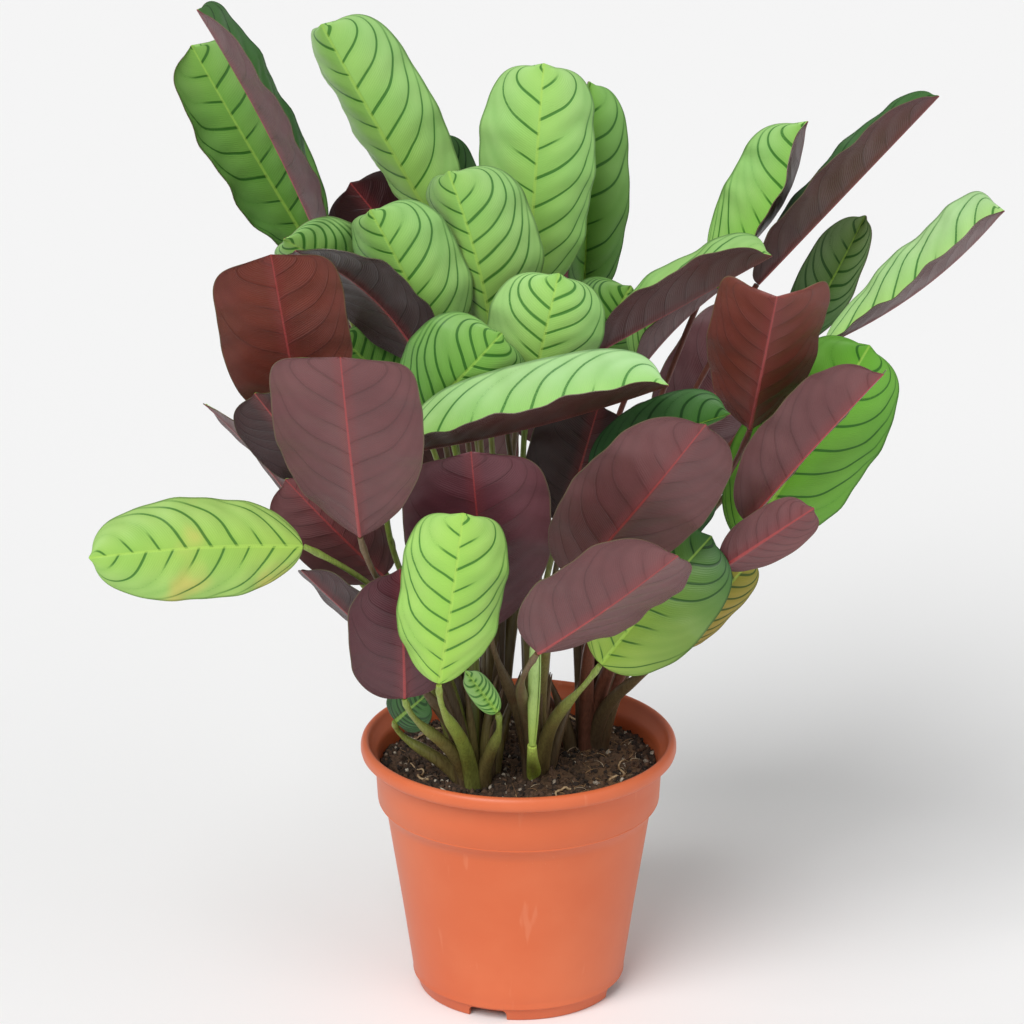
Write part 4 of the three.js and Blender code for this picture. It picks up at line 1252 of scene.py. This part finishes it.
class PLANT_OT_stems(bpy.types.Operator):
    """Build the four clusters of sheathed stems"""
    bl_idname = "plant.stems"
    bl_label = "Stems"

    def execute(self, context):
        finish = stem_finish()
        for name in SHOOTS:
            hand_over(shoot_mesh(name, finish), "stems_" + name)
        return {"FINISHED"}


class PLANT_OT_leaves(bpy.types.Operator):
    """Build every blade, green and veined above, maroon beneath"""
    bl_idname = "plant.leaves"
    bl_label = "Leaves"

    def execute(self, context):
        upper, under = upper_finish(), under_finish()
        for leaf in LEAVES:
            hand_over(leaf_mesh(leaf, upper, under), leaf[0])
        return {"FINISHED"}


class PLANT_OT_spear(bpy.types.Operator):
    """Build the new leaf that is still rolled"""
    bl_idname = "plant.spear"
    bl_label = "New leaf"

    def execute(self, context):
        spear = spear_mesh()
        spear.data.materials.append(spear_finish())
        hand_over(spear, "spear")
        return {"FINISHED"}


def soft_sun(name, source, spread, strength):
    """Even light from the direction of source, spread over that many degrees."""
    data = bpy.data.lights.new(name, "SUN")
    data.angle, data.energy = math.radians(spread), strength
    lamp = bpy.data.objects.new(name, data)
    bpy.context.collection.objects.link(lamp)
    facing = (-Vector(source)).to_track_quat("-Z", "Y")
    lamp.matrix_world = Matrix.Translation(source) @ facing.to_matrix().to_4x4()
    return lamp


class PLANT_OT_stage(bpy.types.Operator):
    """Lay the pale floor and set up the light and the camera"""
    bl_idname = "plant.stage"
    bl_label = "Stage"

    def execute(self, context):
        half = FLOOR_HALF
        floor = new_object("floor", [(-half, -half, 0), (half, -half, 0),
                                     (half, half, 0), (-half, half, 0)], [(0, 1, 2, 3)])
        sh = Shader("pale floor")
        sh.set(Base_Color=(0.90, 0.90, 0.90), Roughness=0.9)
        sh.bsdf.inputs["Specular IOR Level"].default_value = 0.1
        floor.data.materials.append(sh.material)
        soft_sun("key", KEY_SOURCE, 38, 2.5)
        soft_sun("fill", FILL_SOURCE, 60, 0.55)
        world = bpy.data.worlds.new("studio")
        world.use_nodes = True
        back = world.node_tree.nodes["Background"]
        back.inputs[0].default_value = (1.0, 1.0, 1.0, 1.0)
        back.inputs[1].default_value = SKY_STRENGTH
        context.scene.world = world
        context.scene.view_settings.view_transform = "Standard"
        data = bpy.data.cameras.new("camera")
        data.sensor_width, data.lens = SENSOR_WIDTH, LENS
        data.clip_end = 40.0
        camera = bpy.data.objects.new("camera", data)
        bpy.context.collection.objects.link(camera)
        camera.location = Vector(AXIS) + Vector(CAMERA_MM) * MM
        camera.rotation_euler = (math.pi / 2 - CAMERA_DIP, 0.0, 0.0)
        context.scene.camera = camera
        return {"FINISHED"}


class PLANT_PT_panel(bpy.types.Panel):
    """Buttons that build the plant piece by piece"""
    bl_idname = "PLANT_PT_panel"
    bl_label = "Potted ctenanthe"
    bl_space_type = "VIEW_3D"
    bl_region_type = "UI"
    bl_category = "Plant"

    def draw(self, context):
        for name in PlantSettings.__annotations__:
            self.layout.prop(context.scene.plant_settings, name)
        for operator in OPERATORS:
            self.layout.operator(operator.bl_idname)


OPERATORS = (PLANT_OT_pot, PLANT_OT_soil, PLANT_OT_stems, PLANT_OT_leaves, PLANT_OT_spear,
             PLANT_OT_stage)
CLASSES = (PlantSettings,) + OPERATORS + (PLANT_PT_panel,)


def register():
    for cls in CLASSES:
        bpy.utils.register_class(cls)
    bpy.types.Scene.plant_settings = bpy.props.PointerProperty(type=PlantSettings)


def unregister():
    del bpy.types.Scene.plant_settings
    for cls in reversed(CLASSES):
        bpy.utils.unregister_class(cls)


def main():
    register()
    for operator in OPERATORS:
        group, name = operator.bl_idname.split(".")
        getattr(getattr(bpy.ops, group), name)()


if __name__ == "__main__":
    main()
